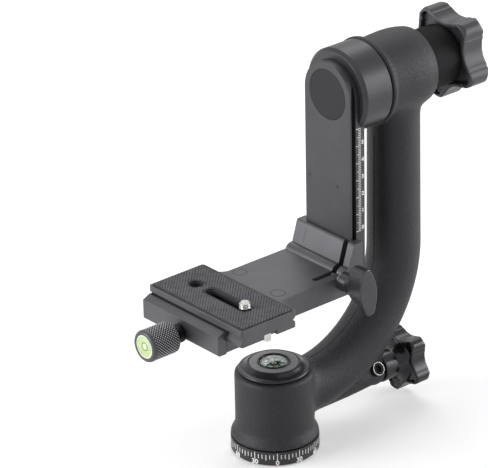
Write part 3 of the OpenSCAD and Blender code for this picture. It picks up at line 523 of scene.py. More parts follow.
def bump(tree, surface, height, strength, distance, edge=0.0):
    """Relief from a height, over edges softened by a small radius."""
    relief = put(tree, "ShaderNodeBump", Strength=strength, Distance=distance)
    wire(tree, (height, relief.inputs["Height"]), (relief.outputs["Normal"], surface.inputs["Normal"]))
    if edge:
        soft = put(tree, "ShaderNodeBevel", Radius=edge)
        soft.samples = 6
        wire(tree, (soft.outputs["Normal"], relief.inputs["Normal"]))


def black_gloss(surface, level):
    """Reflection of a black finish: how strong it is, with its faint cool cast."""
    set_inputs(surface, Specular_IOR_Level=level, Specular_Tint=(0.94, 0.93, 1.0, 1))


class Kind(NamedTuple):
    """One sort of surface: a patch noise for its tones and a grain noise for its roughness and relief.

    A noise is (scale, detail, roughness); without a grain the patch does all. relief is (strength,
    distance, softened edge), the last two in metres.
    """

    patch: tuple
    tones: tuple
    grain: tuple = ()
    relief: tuple = ()
    metal: float = 0.0


KINDS = {
    "orange_peel": Kind((1050, 3, 0.6), (0.2, 2.1), relief=(0.7, 0.0005)),
    "bead_blasted": Kind((90, 4), (0.9, 1.12), (2600, 2), (0.12, 0.0002, 0.0004)),
    "moulded": Kind((140, 3), (0.9, 1.1), (3200, 2, 0.6), (0.1, 0.0002)),
    "rubber": Kind((200, 3), (0.85, 1.2), (2400, 3, 0.65), (0.3, 0.0003)),
    "turned": Kind((300, 3), (0.88, 1.06), (5200, 1), (0.06, 0.0001, 0.0002), 1.0),
    "ink": Kind((2200, 2), (0.86, 1.0)),
    "print": Kind((900, 2), (0.9, 1.08)),
    "liquid": Kind((260, 2), (0.92, 1.06)),
}


def grained(kind, name, colour, rough, gloss=None):
    """Material of one kind, with its own colour, range of roughness and strength of reflection."""
    mat, tree, surface = shader(name)
    if tree is None:
        return mat
    kind = KINDS[kind]
    patch = object_noise(tree, *kind.patch)
    grain = object_noise(tree, *kind.grain) if kind.grain else patch
    vary_colour(tree, surface, patch, colour, kind.tones)
    vary_roughness(tree, surface, grain, *rough)
    if kind.relief:
        bump(tree, surface, grain, *kind.relief)
    if gloss is not None:
        black_gloss(surface, gloss)
    set_inputs(surface, Metallic=kind.metal)
    return mat


def knurled_metal(colour):
    """Painted highlight on the knurl's crests and painted shade in its grooves, told apart by a height
    attribute on the mesh.
    """
    mat, tree, surface = shader("knurled_metal")
    if tree is None:
        return mat
    painted_tooth_light = tree.nodes.new("ShaderNodeAttribute")
    painted_tooth_light.attribute_name = "painted_tooth_light"
    vary_colour(tree, surface, painted_tooth_light.outputs["Fac"], colour, (0.03, 8.0), (0.45, 0.95))
    vary_roughness(tree, surface, object_noise(tree, 2600, 2), 0.26, 0.38)
    black_gloss(surface, 0.5)
    return mat


def clear_dome():
    mat, tree, surface = shader("clear_dome")
    if tree is None:
        return mat
    vary_roughness(tree, surface, object_noise(tree, 120, 2), 0.02, 0.07)
    set_inputs(surface, Base_Color=(0.97, 0.99, 0.98, 1), Transmission_Weight=1.0, IOR=1.42)
    return mat


def level_liquid(colour):
    """Bright green liquid, drawn as a glossy dyed solid that glows through a little."""
    mat = grained("liquid", "level_liquid", colour, (0.05, 0.12))
    surface = mat.node_tree.nodes["Principled BSDF"]
    set_inputs(surface, Subsurface_Weight=0.25, Subsurface_Radius=(0.001, 0.002, 0.0005))
    return mat


def plain_print(name, colour, rough=(0.45, 0.6)):
    """Thin print or dyed plastic with a faint mottle."""
    return grained("print", name, colour, rough)


def finishes():
    """All finishes by name, from the user's colours."""
    scene = bpy.context.scene
    colours = scene.gimbal_colours
    rubber_rough = (0.62, 0.8)

    def blasted(name, share, rough, gloss=0.6):
        return grained("bead_blasted", name, [c * share for c in colours.anodised], rough, gloss)

    def plastic(name, share, rough, gloss=0.5):
        return grained("moulded", name, [c * share for c in colours.moulded], rough, gloss)

    def rubber(name, share, rough, gloss):
        return grained("rubber", name, [c * share for c in colours.rubber], rough, gloss)

    return {
        "coat": grained("orange_peel", "powder_coat", colours.coat, (0.42, 0.64), 0.5),
        "anodised": blasted("satin_anodised", 0.7, (0.34, 0.46), 0.75),
        "cover": blasted("cover_matt", 0.06, (0.5, 0.62), 0.4),
        "rail": blasted("rail_black", 0.4, (0.4, 0.5)),
        "hub": blasted("hub_black", 0.25, (0.3, 0.4)),
        "ring": blasted("ring_black", 0.22, (0.4, 0.5)),
        "cap": blasted("cap_black", 0.18, (0.26, 0.36), 0.55),
        # The cap's top disc takes a far lighter tone than the other anodised pieces: painted light on the
        # top face.
        "inlay": blasted("inlay_painted_light", 2.3, (0.36, 0.46)),
        # Knurl: painted highlight on the crests, painted shade in the grooves; the neck as dark as the
        # grooves.
        "knurl": knurled_metal(colours.anodised),
        "moulded": plastic("moulded_plastic", 2.4, (0.32, 0.44)),
        "polished": plastic("polished_plastic", 0.4, (0.16, 0.24)),
        "wing": plastic("wing_plastic", 1.1, (0.26, 0.34), 0.65),
        # The pad's studs take a far lighter tone of the rubber than the pad between them: painted light on
        # the studs, painted shade in the grooves.
        "rubber": rubber("stud_rubber_painted_light", 1.9, rubber_rough, 0.5),
        "pad_painted_shade": rubber("pad_painted_shade", 0.7, rubber_rough, 0.25),
        "sleeve": rubber("sleeve_matt", 0.08, (0.66, 0.84), 0.3),
        "steel": grained("turned", "turned_steel", colours.steel, (0.18, 0.3)),
        "brass": grained("turned", "turned_brass", (0.62, 0.48, 0.22), (0.22, 0.34)),
        "blackened": grained("turned", "blackened_steel", (0.16, 0.16, 0.165), (0.28, 0.4)),
        "bright_black": grained("turned", "bright_black", (0.34, 0.34, 0.35), (0.12, 0.18)),
        "nylon": plain_print("white_nylon", (0.72, 0.7, 0.66)),
        "ink": grained("ink", "printed_ink", scene.gimbal_scales.ink, (0.5, 0.65)),
        "dome": clear_dome(),
        "liquid": level_liquid(colours.vial),
        # Compass case and bezel: their own black, made near black as painted shade of the gap and inner wall
        # round the dome.
        "case_black_and_gap_shade": plain_print("case_black_and_gap_shade", (0.004, 0.004, 0.004), (0.3, 0.4)),
        "card_green": plain_print("rose_green", (0.003, 0.115, 0.055)),
        "card_pale": plain_print("card_pale", (0.74, 0.79, 0.75)),
        "needle": plain_print("needle_brown", (0.06, 0.03, 0.01)),
        "level_pale": plain_print("level_pale", (0.66, 0.70, 0.60), (0.3, 0.4)),
        "level_line": plain_print("level_line", (0.10, 0.17, 0.05)),
        "line_dark": plain_print("line_dark", (0.006, 0.006, 0.006)),
    }


NODE_FINISH = {
    "anodised": "elbow_bracket clamp_jaw camera_plate",
    "ring": "degree_ring base_plate",
    "hub": "hub_disc",
    "knurl": "clamp_knob",
    "cover": "rail_cover",
    "rail": "swing_rail",
    # The pad between the studs takes the dark rubber tone: painted shade in the grooves.
    "pad_painted_shade": "plate_pad",
    "sleeve": "tilt_sleeve rod_keeper_screw",
    "steel": "pan_spindle base_screws pan_retainer pan_retainer_screw pan_push_rod tilt_shaft rail_screws "
             "jaw_guide_pins clamp_screw screw_keeper plate_stop_screw",
    "blackened": "pan_star_bolt tilt_star_bolt wing_washer wing_screw tilt_star_insert",
    "brass": "pan_bush_lower pan_bush_upper tilt_bush_front tilt_bush_rear pan_thread_insert compass_pivot",
    "nylon": "pan_thrust_washer tilt_washer pan_brake_pad",
    # The compass case in the near-black finish: partly its own black, partly painted shade round the dome.
    "case_black_and_gap_shade": "compass_case",
    "card_pale": "compass_card",
    "dome": "compass_lens",
    "level_pale": "level_case",
    "liquid": "level_vial",
}


def finish_piece(obj, body, slot, *replaced, look):
    """Gives a piece its look, ties it to its body and hides the solids that it stands for; the slot is not
    used.
    """
    obj.data.materials.clear()
    obj.data.materials.append(finishes()[look])
    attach(obj, body)
    if replaced:
        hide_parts(*replaced)


# Pieces

class GIMBAL_OT_solids(Operator):
    """Give every solid its finish."""

    bl_idname = "gimbal.solids"
    bl_label = "Finish the solids"

    def execute(self, context):
        looks = finishes()
        for finish, names in NODE_FINISH.items():
            for name in names.split():
                solid = NODES[name]
                if not solid.material_slots:
                    solid.data.materials.append(None)
                for slot in solid.material_slots:
                    slot.material = looks[finish]
        return {"FINISHED"}


class GIMBAL_OT_arm(Operator):
    """Cast arm with soft fillets between barrel, limb, column and lock housing."""

    bl_idname = "gimbal.arm"
    bl_label = "Cast arm"

    def execute(self, context):
        most_triangles = 190000
        column_x = 90
        arm = remeshed(merged_copy("arm_casting", "cast_arm"), context.scene.gimbal_grips.cast_voxel)
        x, y, z = (mesh_arrays(arm)[0] / MM).T
        from_pan = np.hypot(x, y)
        from_tilt = np.hypot(y, z - TILT_Z)
        from_lock = np.hypot(y, z - LOCK_Z)
        under_top = near(z, TILT_Z - 21, 13) * near(x, column_x, 19) * (from_tilt > 20)
        at_barrel = near(from_pan, 25, 16) * near(z, 30, 17) * (from_pan > 20.6)
        at_lock = near(x, 66, 14) * near(z, 24, 14) * (from_lock > 7.2) * (from_pan > 30)
        filled = np.maximum.reduce([under_top, at_barrel, at_lock])
        at_foot = near(z - RING.high.z, 6.0, 5.0) * (from_pan > 20)
        at_body = near(x - HUB.high.x, 20.5, 14.5) * (from_tilt > 15)
        softened = np.maximum(at_foot, at_body)
        relax(arm, 2, fill_passes=150, fill_weight=filled, soft_passes=60, soft_weight=softened)
        smooth_shaded(thinned(arm, most_triangles))
        finish_piece(arm, "arm", "arm_coat", "arm_casting", look="coat")
        return {"FINISHED"}


def move_floor(obj, deep, shallow):
    """Raises the floor of the hollow under a star knob's lobes."""
    for vertex in obj.data.vertices:
        if abs(vertex.co.x / MM - deep) < 0.15:
            vertex.co.x = shallow * MM


def fill_neck(obj):
    """Closes the groove round the pan knob's neck and lets the neck flare into the star."""
    collar_length = 3.2
    end = min(vertex.co.x for vertex in obj.data.vertices) / MM
    collar = [vertex.co / MM for vertex in obj.data.vertices if vertex.co.x / MM < end + collar_length]
    reach = max(hypot(place.y, place.z - LOCK_Z) for place in collar)
    bore = ROD.half(Z) + 0.1
    flare = [(bore, end), (reach, end), (reach, end + 9.5), (reach + 1.2, end + 12),
             (reach + 4, end + 14.4), (reach + 4, end + 15.6), (bore, end + 15.6)]
    absorb(obj, lathe(flare, "neck_filler", "X", (0, 0, LOCK_Z), 64))


def blunt_tips(obj):
    """Rounds both tips of the wing's lens outline."""
    tip_share = 0.93
    places = mesh_arrays(obj)[0]
    middle = (places.min(0) + places.max(0)) / 2
    flat = (places - middle)[:, [X, Z]]
    cross_axis, long_axis = np.linalg.eigh(np.cov(flat.T))[1].T
    along = flat @ long_axis
    share = np.clip(np.abs(along) / np.abs(along).max(), 0, tip_share)
    stretch = 1 / np.sqrt(1 - share ** 4) - 1
    shift = (flat @ cross_axis) * stretch
    places[:, [X, Z]] += shift[:, None] * cross_axis
    set_places(obj, places)


def slim_slab(obj, neck, share):
    """Thins the wing's slab from behind, outside its neck."""
    places = mesh_arrays(obj)[0]
    across = places[:, X] - WING_SCREW.middle(X) * MM
    above = places[:, Z] - WING_SCREW.middle(Z) * MM
    outer = np.hypot(across, above) > neck * MM
    face = places[:, Y].min()
    places[outer, Y] = face + (places[outer, Y] - face) * share
    set_places(obj, places)


class Grip(NamedTuple):
    """Moulded knob; hollow gives the floor of its hollow in the solid and the floor that is drawn."""

    node: str
    piece: str
    body: str
    voxel_share: float
    passes: int
    look: str
    hollow: tuple = ()


GRIPS = (
    Grip("tilt_star_knob", "tilt_star_grip", "tilt_knob", 1.2, 5, "moulded", (133.4, 125.0)),
    Grip("pan_star_knob", "pan_star_grip", "pan_knob", 1.0, 6, "polished", (97.48, 91.2)),
    Grip("wing_knob", "wing_grip", "wing", 0.85, 5, "wing"),
)


class GIMBAL_OT_grips(Operator):
    """Moulded star knobs and wing knob with rounded edges."""

    bl_idname = "gimbal.grips"
    bl_label = "Moulded grips"

    def execute(self, context):
        voxel = context.scene.gimbal_grips.grip_voxel
        for grip in GRIPS:
            knob = merged_copy(grip.node, grip.piece)
            if grip.hollow:
                move_floor(knob, *grip.hollow)
            if grip.node == "pan_star_knob":
                fill_neck(knob)
            remeshed(knob, voxel * grip.voxel_share)
            relax(knob, grip.passes)
            if grip.node == "wing_knob":
                blunt_tips(knob)
                slim_slab(knob, neck=5.8, share=0.76)
            smooth_shaded(knob)
            finish_piece(knob, grip.body, "knob_plastic", grip.node, look=grip.look)
        return {"FINISHED"}


def round_ring(turn, low):
    """Map that bends a flat text round the degree ring."""
    radius = RING.high.x
    return lambda x, y, z: (*polar(turn + x / radius, radius + z), low + y)


class GIMBAL_OT_degree_scale(Operator):
    """Printed degree scale around the base ring."""

    bl_idname = "gimbal.degree_scale"
    bl_label = "Degree scale"

    def execute(self, context):
        sizes = context.scene.gimbal_scales
        numbered = 30
        radius = RING.high.x
        top = RING.high.z - 0.55
        text_z = RING.low.z + 1.9
        ticks = []
        for angle in range(0, 360, sizes.degree_step):
            turn = sizes.zero_angle + radians(angle)
            length = tick_length(angle, numbered, 15, (4.1, 3.3, 2.6))
            drop = 0 if angle % numbered == 0 else 0.9
            place = (*polar(turn, radius), top - drop - length / 2)
            ticks.append((place, facing((*polar(turn), 0), UP), (1, length, 1)))
        size = (sizes.tick_width / MM, 1, PRINT_DEPTH)
        placed_marks("degree_ticks", "bar", size, ticks, "ink", "base", "anodised")
        numbers = []
        for angle in range(0, 360, numbered):
            turn = sizes.zero_angle + radians(angle)
            numbers.append((str(min(angle, 360 - angle)), round_ring(turn, text_z)))
        printed_numbers("degree_numbers", sizes.digit_height / MM, "base", numbers)
        return {"FINISHED"}


def rail_side(left, low):
    """Map that lays a flat text on the side of the rail."""
    return lambda x, y, z: (left + x, RAIL.low.y - z, low + y)


class GIMBAL_OT_ruler(Operator):
    """Centimetre ruler on the side of the rail."""

    bl_idname = "gimbal.ruler"
    bl_label = "Rail ruler"

    def execute(self, context):
        sizes = context.scene.gimbal_scales
        zero = sizes.ruler_zero / MM
        right = RAIL.high.x - 2.6
        forward = facing((0, -1, 0), UP)
        line_width = 0.34
        digit_height = 2.3
        ticks = []
        for step in range(sizes.ruler_length):
            length = tick_length(step, 10, 5, (3.5, 2.7, 1.8))
            ticks.append(((right - length / 2, RAIL.low.y, zero + step), forward, (length, 1, 1)))
        size = (1, line_width, PRINT_DEPTH)
        placed_marks("ruler_ticks", "bar", size, ticks, "ink", "swing", "anodised")
        numbers = [(str(n), rail_side(right + 1.25, zero + 10 * n + 1.5)) for n in range(7)]
        printed_numbers("ruler_numbers", digit_height, "swing", numbers)
        return {"FINISHED"}


class GIMBAL_OT_pad_relief(Operator):
    """Diamond studs moulded on the plate's rubber pad, clear of its slot and hole."""

    bl_idname = "gimbal.pad_relief"
    bl_label = "Pad relief"

    def execute(self, context):
        sizes = context.scene.gimbal_grips
        pitch = sizes.rib_pitch / MM
        half = pitch / sqrt(2)
        middle_x, middle_y = PAD.middle(X), PAD.middle(Y)
        slot_low, slot_high = middle_y - 18.7, middle_y + 8.8
        slot_reach = 3.33 + half
        hole_y = middle_y + 21.1
        hole_reach = 3.9 + half
        turn = (0, 0, radians(45))
        marks = []
        rows = int((PAD.high.y - PAD.low.y) / half) + 1
        columns = int((PAD.high.x - PAD.low.x) / (2 * half)) + 1
        for row in range(-rows, rows + 1):
            for column in range(-columns, columns + 1):
                x = middle_x + (2 * column + row % 2) * half
                y = middle_y + row * half
                inside_x = PAD.low.x + half < x < PAD.high.x - half
                inside_y = PAD.low.y + half < y < PAD.high.y - half
                nearest = min(max(y, slot_low), slot_high)
                clear_slot = hypot(x - middle_x, y - nearest) > slot_reach
                clear_hole = hypot(x - middle_x, y - hole_y) > hole_reach
                if inside_x and inside_y and clear_slot and clear_hole:
                    marks.append(((x, y, PAD.high.z), turn, SAME))
        width = pitch * 0.74
        size = (width, width, sizes.rib_height / MM)
        # Studs in the light rubber tone: painted light, set against the painted shade of the pad between
        # them.
        placed_marks("pad_diamonds", "bar", size, marks, "rubber", "plate", "pad_rubber")
        return {"FINISHED"}


def knurled_knob(pitch, depth):
    """Clamp knob turned with a bevelled rim, a crossed knurl, a ribbed neck and its two bores."""
    radius = KNOB.half(Z)
    centre_y, centre_z = KNOB.middle(Y), KNOB.middle(Z)
    face = KNOB.low.x
    shoulder = KNOB.high.x - 6.4
    neck = radius * 0.575
    groove = neck - 0.45
    window = LEVEL.half(Z) + 0.02
    bore = DRIVE.half(Z) + 0.02
    floor = DRIVE.low.x - 0.1
    first = face + 2.4
    last = shoulder - 1.3
    rows = int((last - first) / 0.2)
    front = [(0, LEVEL.high.x), (window, LEVEL.high.x), (window, face + 0.2), (window + 0.2, face),
             (radius - 1.3, face), (radius - 0.75, face + 0.2), (radius - 0.25, face + 0.7),
             (radius, face + 1.4), (radius, first - 0.25)]
    knurl = [(radius, first + (last - first) * i / rows) for i in range(rows + 1)]
    back = [(radius - 0.2, last + 0.25), (radius - 0.2, shoulder - 0.6), (radius - 0.8, shoulder),
            (neck, shoulder)]
    for k in range(4):
        base = shoulder + 0.5 + 1.4 * k
        back += [(neck, base), (groove, base + 0.2), (groove, base + 0.7), (neck, base + 0.9)]
    back += [(neck, KNOB.high.x), (bore, KNOB.high.x), (bore, floor), (0, floor)]
    outline = front + knurl + back
    carved = range(len(front), len(front) + len(knurl))
    per_tooth = 8
    segments = round(2 * pi * radius / pitch) * per_tooth
    verts = []
    for i, turn in enumerate(turns(segments)):
        for k, (reach, along) in enumerate(outline):
            if k in carved:
                slant = [i / per_tooth + side * (along - first) / pitch for side in (-1, 1)]
                rise = min(1 - 2 * abs(v % 1 - 0.5) for v in slant)
                reach -= depth * (1 - min(1, 1.5 * rise))
            y, z = polar(turn, reach)
            verts.append((along, centre_y + y, centre_z + z))
    knob = mesh_from(verts, ring_faces(segments, len(outline)), "knurled_knob", dissolve=True)
    # Tone for the material: crests of the teeth painted light, grooves painted as shade, the neck as dark as
    # the grooves and the front face just above them.
    tones = []
    for vertex in knob.data.vertices:
        along, y, z = vertex.co / MM
        reach = hypot(y - centre_y, z - centre_z)
        on_knurl = first - 0.01 < along < last + 0.01 and reach > neck + 1
        on_neck = along > shoulder - 0.01
        tones.append(1 - (radius - reach) / depth if on_knurl else 0.0 if on_neck else 0.5)
    knob.data.attributes.new("painted_tooth_light", "FLOAT", "POINT").data.foreach_set("value", tones)
    return smooth_shaded(knob, 30)


class GIMBAL_OT_knurl(Operator):
    """Knurled clamp knob, and fine ribs on the sleeve."""

    bl_idname = "gimbal.knurl"
    bl_label = "Knurls and ribs"

    def execute(self, context):
        sizes = context.scene.gimbal_grips
        knob = knurled_knob(sizes.knurl_pitch / MM, sizes.knurl_height / MM)
        finish_piece(knob, "clamp_knob", "knob_metal", "clamp_knob", look="knurl")
        rib_count = 104
        reach = SLEEVE.half(Z)
        middle_x = SLEEVE.middle(X) + 0.3
        ribs = []
        for turn in turns(rib_count):
            y, z = polar(turn, reach)
            ribs.append(((middle_x, y, TILT_Z + z), facing((0, *polar(turn)), (1, 0, 0)), SAME))
        size = (0.55, SLEEVE.high.x - SLEEVE.low.x - 2.4, 0.24)
        placed_marks("sleeve_ribs", "bar", size, ribs, "sleeve", "tilt_clamp", "sleeve_black")
        return {"FINISHED"}


def thread_strip(radius, root, low, high):
    """Thread of the camera screw, fading out at both ends."""
    lead = 1.27
    steps = 40
    end = high - 0.35
    profile = ((-0.5, -0.2), (-0.08, 1), (0.08, 1), (0.5, -0.2))
    rings = int((high - low) / lead * steps)
    sections = []
    for i in range(rings + 1):
        turn = 2 * pi * i / steps
        level = low + (end - low) * i / rings
        fade = min(1.0, (end - level) / 0.5, (level - low) / 0.3)
        sections.append([])
        for rise, deep in profile:
            x, y = polar(turn, root + (radius - root) * (deep * fade if deep > 0 else deep))
            height = level + 0.9 * lead * rise * fade
            sections[-1].append((SCREW.middle(X) + x, SCREW.middle(Y) + y, height))
    return mesh_from(*strip(sections), "screw_thread_strip")


class GIMBAL_OT_camera_screw(Operator):
    """Threaded camera screw with its round head under the plate."""

    bl_idname = "gimbal.camera_screw"
    bl_label = "Camera screw"

    def execute(self, context):
        radius = SCREW_MOUNT["dims"]["r_mm"]
        root = radius * 0.83
        low = SCREW.low.z
        top = SCREW.high.z
        head_r = SCREW.half(X)
        head_high = low + 2.4
        thread = thread_strip(radius, root, PAD.high.z + 0.1, top)
        profile = [(0, low), (head_r - 0.4, low), (head_r, low + 0.4), (head_r, head_high - 0.3),
                   (head_r - 0.3, head_high), (root, head_high), (root, top - 0.5), (root - 0.5, top),
                   (0, top)]
        screw = lathe(profile, "threaded_screw", "Z", (SCREW.middle(X), SCREW.middle(Y), 0), 48)
        absorb(screw, thread)
        smooth_shaded(screw, 35)
        finish_piece(screw, "camera_screw", "steel", "camera_screw", look="steel")
        return {"FINISHED"}


class GIMBAL_OT_cap(Operator):
    """Base cap with a rolled rim and a coved flank, and the flat disc let into it."""

    bl_idname = "gimbal.cap"
    bl_label = "Base cap"

    def execute(self, context):
        sharp = 40
        top = CAP.high.z
        foot = top - 4.4
        rim = CAP.high.x
        roll = 0.95
        disc = rim * 0.7
        seat = disc + 0.28
        bore = CASE.high.x + 0.05
        plug = rim - 1.3
        cove_steps = 14
        flank = []
        for angle in range(-60, 61, 15):
            out, rise = polar(radians(angle), roll)
            flank.append((rim - roll + out, foot + roll + rise))
        flank[0] = (flank[0][0], foot)
        start = flank[-1]
        end = (seat + 1.0, top - 0.4)
        for i in range(1, cove_steps + 1):
            share = i / cove_steps
            out = start[0] + (end[0] - start[0]) * share
            flank.append((out, start[1] + (end[1] - start[1]) * share ** 2))
        profile = [(plug, CAP.low.z), (plug, foot), *flank, (seat + 0.6, top - 0.12), (seat + 0.2, top),
                   (seat, top - 0.1), (seat, INLAY.low.z), (bore, INLAY.low.z), (bore, CAP.low.z)]
        cap = smooth_shaded(lathe(profile, "coved_cap"), sharp)
        finish_piece(cap, "arm", "anodised", "base_cap", look="cap")
        under = INLAY.low.z + 0.02
        profile = [(bore, under), (disc, under), (disc, top - 0.25), (disc - 0.25, top), (bore, top)]
        flat = smooth_shaded(lathe(profile, "inlay_disc"), sharp)
        # The top disc in the lighter inlay tone: painted light on the cap's top face.
        finish_piece(flat, "arm", "anodised", "cap_inlay", look="inlay")
        return {"FINISHED"}


def turned_outline(points, turn):
    """Flat points given as (along, across) a direction, as x and y."""
    x, y = polar(turn)
    return [(along * x - across * y, along * y + across * x) for along, across in points]


class GIMBAL_OT_compass(Operator):
    """Printed rose, dial and needle of the compass, its bezel and its dome."""

    bl_idname = "gimbal.compass"
    bl_label = "Compass"

    def execute(self, context):
        level = CARD.high.z
        reach = CARD.high.x
        points = []
        for k, turn in enumerate(turns(8)):
            share, wide = (0.94, 2.3) if k % 2 == 0 else (0.86, 1.9)
            corners = ((reach * share, 0), (reach * 0.2, -wide), (reach * 0.2, wide))
            points.append(prism(turned_outline(corners, turn), level - 0.05, level + 0.06))
        rose = mesh_from(*joined(points), "compass_rose")
        finish_piece(rose, "compass", "card_green", look="card_green")
        dial = []
        for k, turn in enumerate(turns(36)):
            length = 1.1 if k % 3 == 0 else 0.7
            at = reach - 0.35 - length / 2
            dial.append(((*polar(turn, at), level), (0, 0, turn), (length, 1, 1)))
        size = (1, 0.22, PRINT_DEPTH)
        placed_marks("compass_dial", "bar", size, dial, "line_dark", "compass", "card_green")
        north = radians(-122)
        corners = ((reach * 0.78, 0), (reach * 0.02, 0.62), (reach * -0.05, 0), (reach * 0.02, -0.62))
        shape = prism(turned_outline(corners, north), level + 0.1, level + 0.3)
        needle = mesh_from(*shape, "compass_needle")
        finish_piece(needle, "compass", "card_green", look="needle")
        wide = LENS.high.x
        rise = LENS.high.z - CASE.high.z + 0.4
        ball = (wide * wide + rise * rise) / (2 * rise)
        edge = asin(wide / ball)
        skin = 0.5
        bends = [edge * i / 12 for i in range(13)]
        outer = [(ball * sin(bend), LENS.high.z - ball + ball * cos(bend)) for bend in bends]
        inner = [(max(0, r - skin * r / wide), z - skin) for r, z in outer]
        profile = outer + [(wide, LENS.low.z), (wide - skin, LENS.low.z)] + inner[::-1]
        # The bezel ring in the near-black finish: partly its own black, partly painted shade of the gap
        # round the dome.
        bezel = torus("compass_bezel", Vector((0, 0, CASE.high.z - 0.15)), Vector(UP), wide + 0.45, 0.5)
        finish_piece(bezel, "arm", "compass_black", look="case_black_and_gap_shade")
        dome = smooth_shaded(lathe(profile, "compass_dome", segments=64), 40)
        finish_piece(dome, "arm", "clear_lens", "compass_lens", look="dome")
        return {"FINISHED"}


class GIMBAL_OT_level(Operator):
    """Circle and bubble of the round level in the clamp knob."""

    bl_idname = "gimbal.level"
    bl_label = "Round level"

    def execute(self, context):
        front = VIAL.low.x
        centre_y, centre_z = VIAL.middle(Y), VIAL.middle(Z)
        band = [(2.0, front + 0.05), (2.0, front - 0.05), (2.4, front - 0.05), (2.4, front + 0.05)]
        ring = lathe(band, "level_circle", "X", (0, centre_y, centre_z), 64)
        finish_piece(ring, "clamp_knob", "level_green", look="level_line")
        bubble_r, bubble_rise = 1.55, 0.3
        bends = [radians(angle) for angle in range(0, 91, 15)]
        dome = [(0, front + 0.02)]
        dome += [(bubble_r * cos(bend), front - bubble_rise * sin(bend)) for bend in bends]
        bubble = lathe(dome, "level_bubble", "X", (0, centre_y - 0.3, centre_z + 0.35), 40)
        smooth_shaded(bubble)
        finish_piece(bubble, "clamp_knob", "level_green", look="level_pale")
        return {"FINISHED"}


def parting_ridge():
    """Low ridge that the mould's parting leaves along the inner side of bend and column."""
    bend = Vector((21.4, 0, 96.7))
    bend_r, bend_angle, bend_steps = 52, 84, 48
    column_x, column_lean, column_length, column_steps = 73.4, 0.36, 66, 24
    profile = ((-0.9, -0.2), (0, 0.26), (0.9, -0.2), (0, -0.8))
    stations = []
    for i in range(bend_steps + 1):
        turn = radians(-bend_angle + bend_angle * i / bend_steps)
        out = Vector((cos(turn), 0, sin(turn)))
        stations.append((bend + out * bend_r, -out))
    for i in range(1, column_steps + 1):
        share = i / column_steps
        place = Vector((column_x + column_lean * share, 0, bend.z + column_length * share))
        stations.append((place, Vector((-1, 0, 0))))
    sections = [[place + inward * rise + Vector((0, across, 0)) for across, rise in profile]
                for place, inward in stations]
    return smooth_shaded(mesh_from(*strip(sections), "parting_ridge"), 50)


class GIMBAL_OT_small_marks(Operator):
    """Plugged holes on the rail, dark rings of painted shade for two shallow recesses on the platform, the
    upright's scribed line, the lock screw's ring and the casting's parting ridge.
    """

    bl_idname = "gimbal.small_marks"
    bl_label = "Small marks"

    def execute(self, context):
        rail_face = RAIL.low.x
        line_y = 14.7
        forward = facing((-1, 0, 0), UP)
        dots = [((rail_face, y, 145.5), forward, SAME) for y in (line_y, -7.5)]
        placed_marks("rail_plugs", "disc", (1.6, 1.6, 0.05), dots, "cover", "swing", "anodised")
        # Darker rings on the platform: painted shade of two shallow recesses round filled holes.
        rings = [((x, y, PLATFORM_Z), (0, 0, 0), SAME) for x, y in ((-7.6, 17.9), (-9.4, -15.2))]
        size = (8.5, 8.5, PRINT_DEPTH)
        placed_marks("platform_plugs", "ring", size, rings, "rail", "bracket", "anodised")
        low = Vector((rail_face - 5.95, line_y, PLATFORM_Z + 3.6))
        high = Vector((rail_face - 2.95, line_y, PLATFORM_Z + 13.4))
        slope = (high - low).normalized()
        outward = Vector((-slope.z, 0, slope.x))
        line = [((low + high) / 2, facing(outward, slope), (1, (high - low).length, 1))]
        placed_marks("upright_scribe", "bar", (0.42, 1, 0.05), line, "line_dark", "bracket", "anodised")
        lean = radians(58)
        out = Vector((0, -sin(lean), cos(lean)))
        seat = Vector((KEEPER.middle(X), 0, LOCK_Z)) + out * 9.85
        rim = torus("keeper_rim", seat, out, 3.6, 0.34)
        finish_piece(rim, "arm", "steel", look="bright_black")
        finish_piece(parting_ridge(), "arm", "arm_coat", look="coat")
        return {"FINISHED"}


# Stage, in metres

FLOOR_Z = -0.0005
FLOOR_HALF = 6
FLOOR_GLOW = 0.25
MIRROR_SHARE = 0.6
WHITE = (1, 1, 1, 1)
CAMERA_PLACE = Vector((-1.16705, -1.35885, 0.97780))
CAMERA_AIM = Vector((-0.001035, 0.02166, 0.12072))
CAMERA_ROLL = radians(-1.161)


def calculate(tree, operation, first, second):
    """Result of a math node on a socket and a second socket or number."""
    node = tree.nodes.new("ShaderNodeMath")
    node.operation = operation
    wire(tree, (first, node.inputs[0]))
    if isinstance(second, float):
        node.inputs[1].default_value = second
    else:
        wire(tree, (second, node.inputs[1]))
    return node.outputs[0]


def seen_share(tree):
    """1 for rays that see the background straight or through glass, and less by reflection."""
    rays = tree.nodes.new("ShaderNodeLightPath").outputs
    mirrored = calculate(tree, "MULTIPLY", rays["Is Glossy Ray"], MIRROR_SHARE)
    straight = calculate(tree, "MAXIMUM", rays["Is Camera Ray"], mirrored)
    return calculate(tree, "MAXIMUM", straight, rays["Is Transmission Ray"])


def floor_white():
    """White paint that glows a little where it is seen."""
    mat, tree, surface = shader("floor_white")
    if tree is None:
        return mat
    set_inputs(surface, Base_Color=(0.9, 0.9, 0.9, 1), Roughness=0.9)
    glow = put(tree, "ShaderNodeEmission", Color=WHITE)
    strength = calculate(tree, "MULTIPLY", seen_share(tree), FLOOR_GLOW)
    both = put(tree, "ShaderNodeAddShader")
    wire(tree, (strength, glow.inputs["Strength"]), (surface.outputs[0], both.inputs[0]),
         (glow.outputs[0], both.inputs[1]),
         (both.outputs[0], tree.nodes["Material Output"].inputs["Surface"]))
    return mat


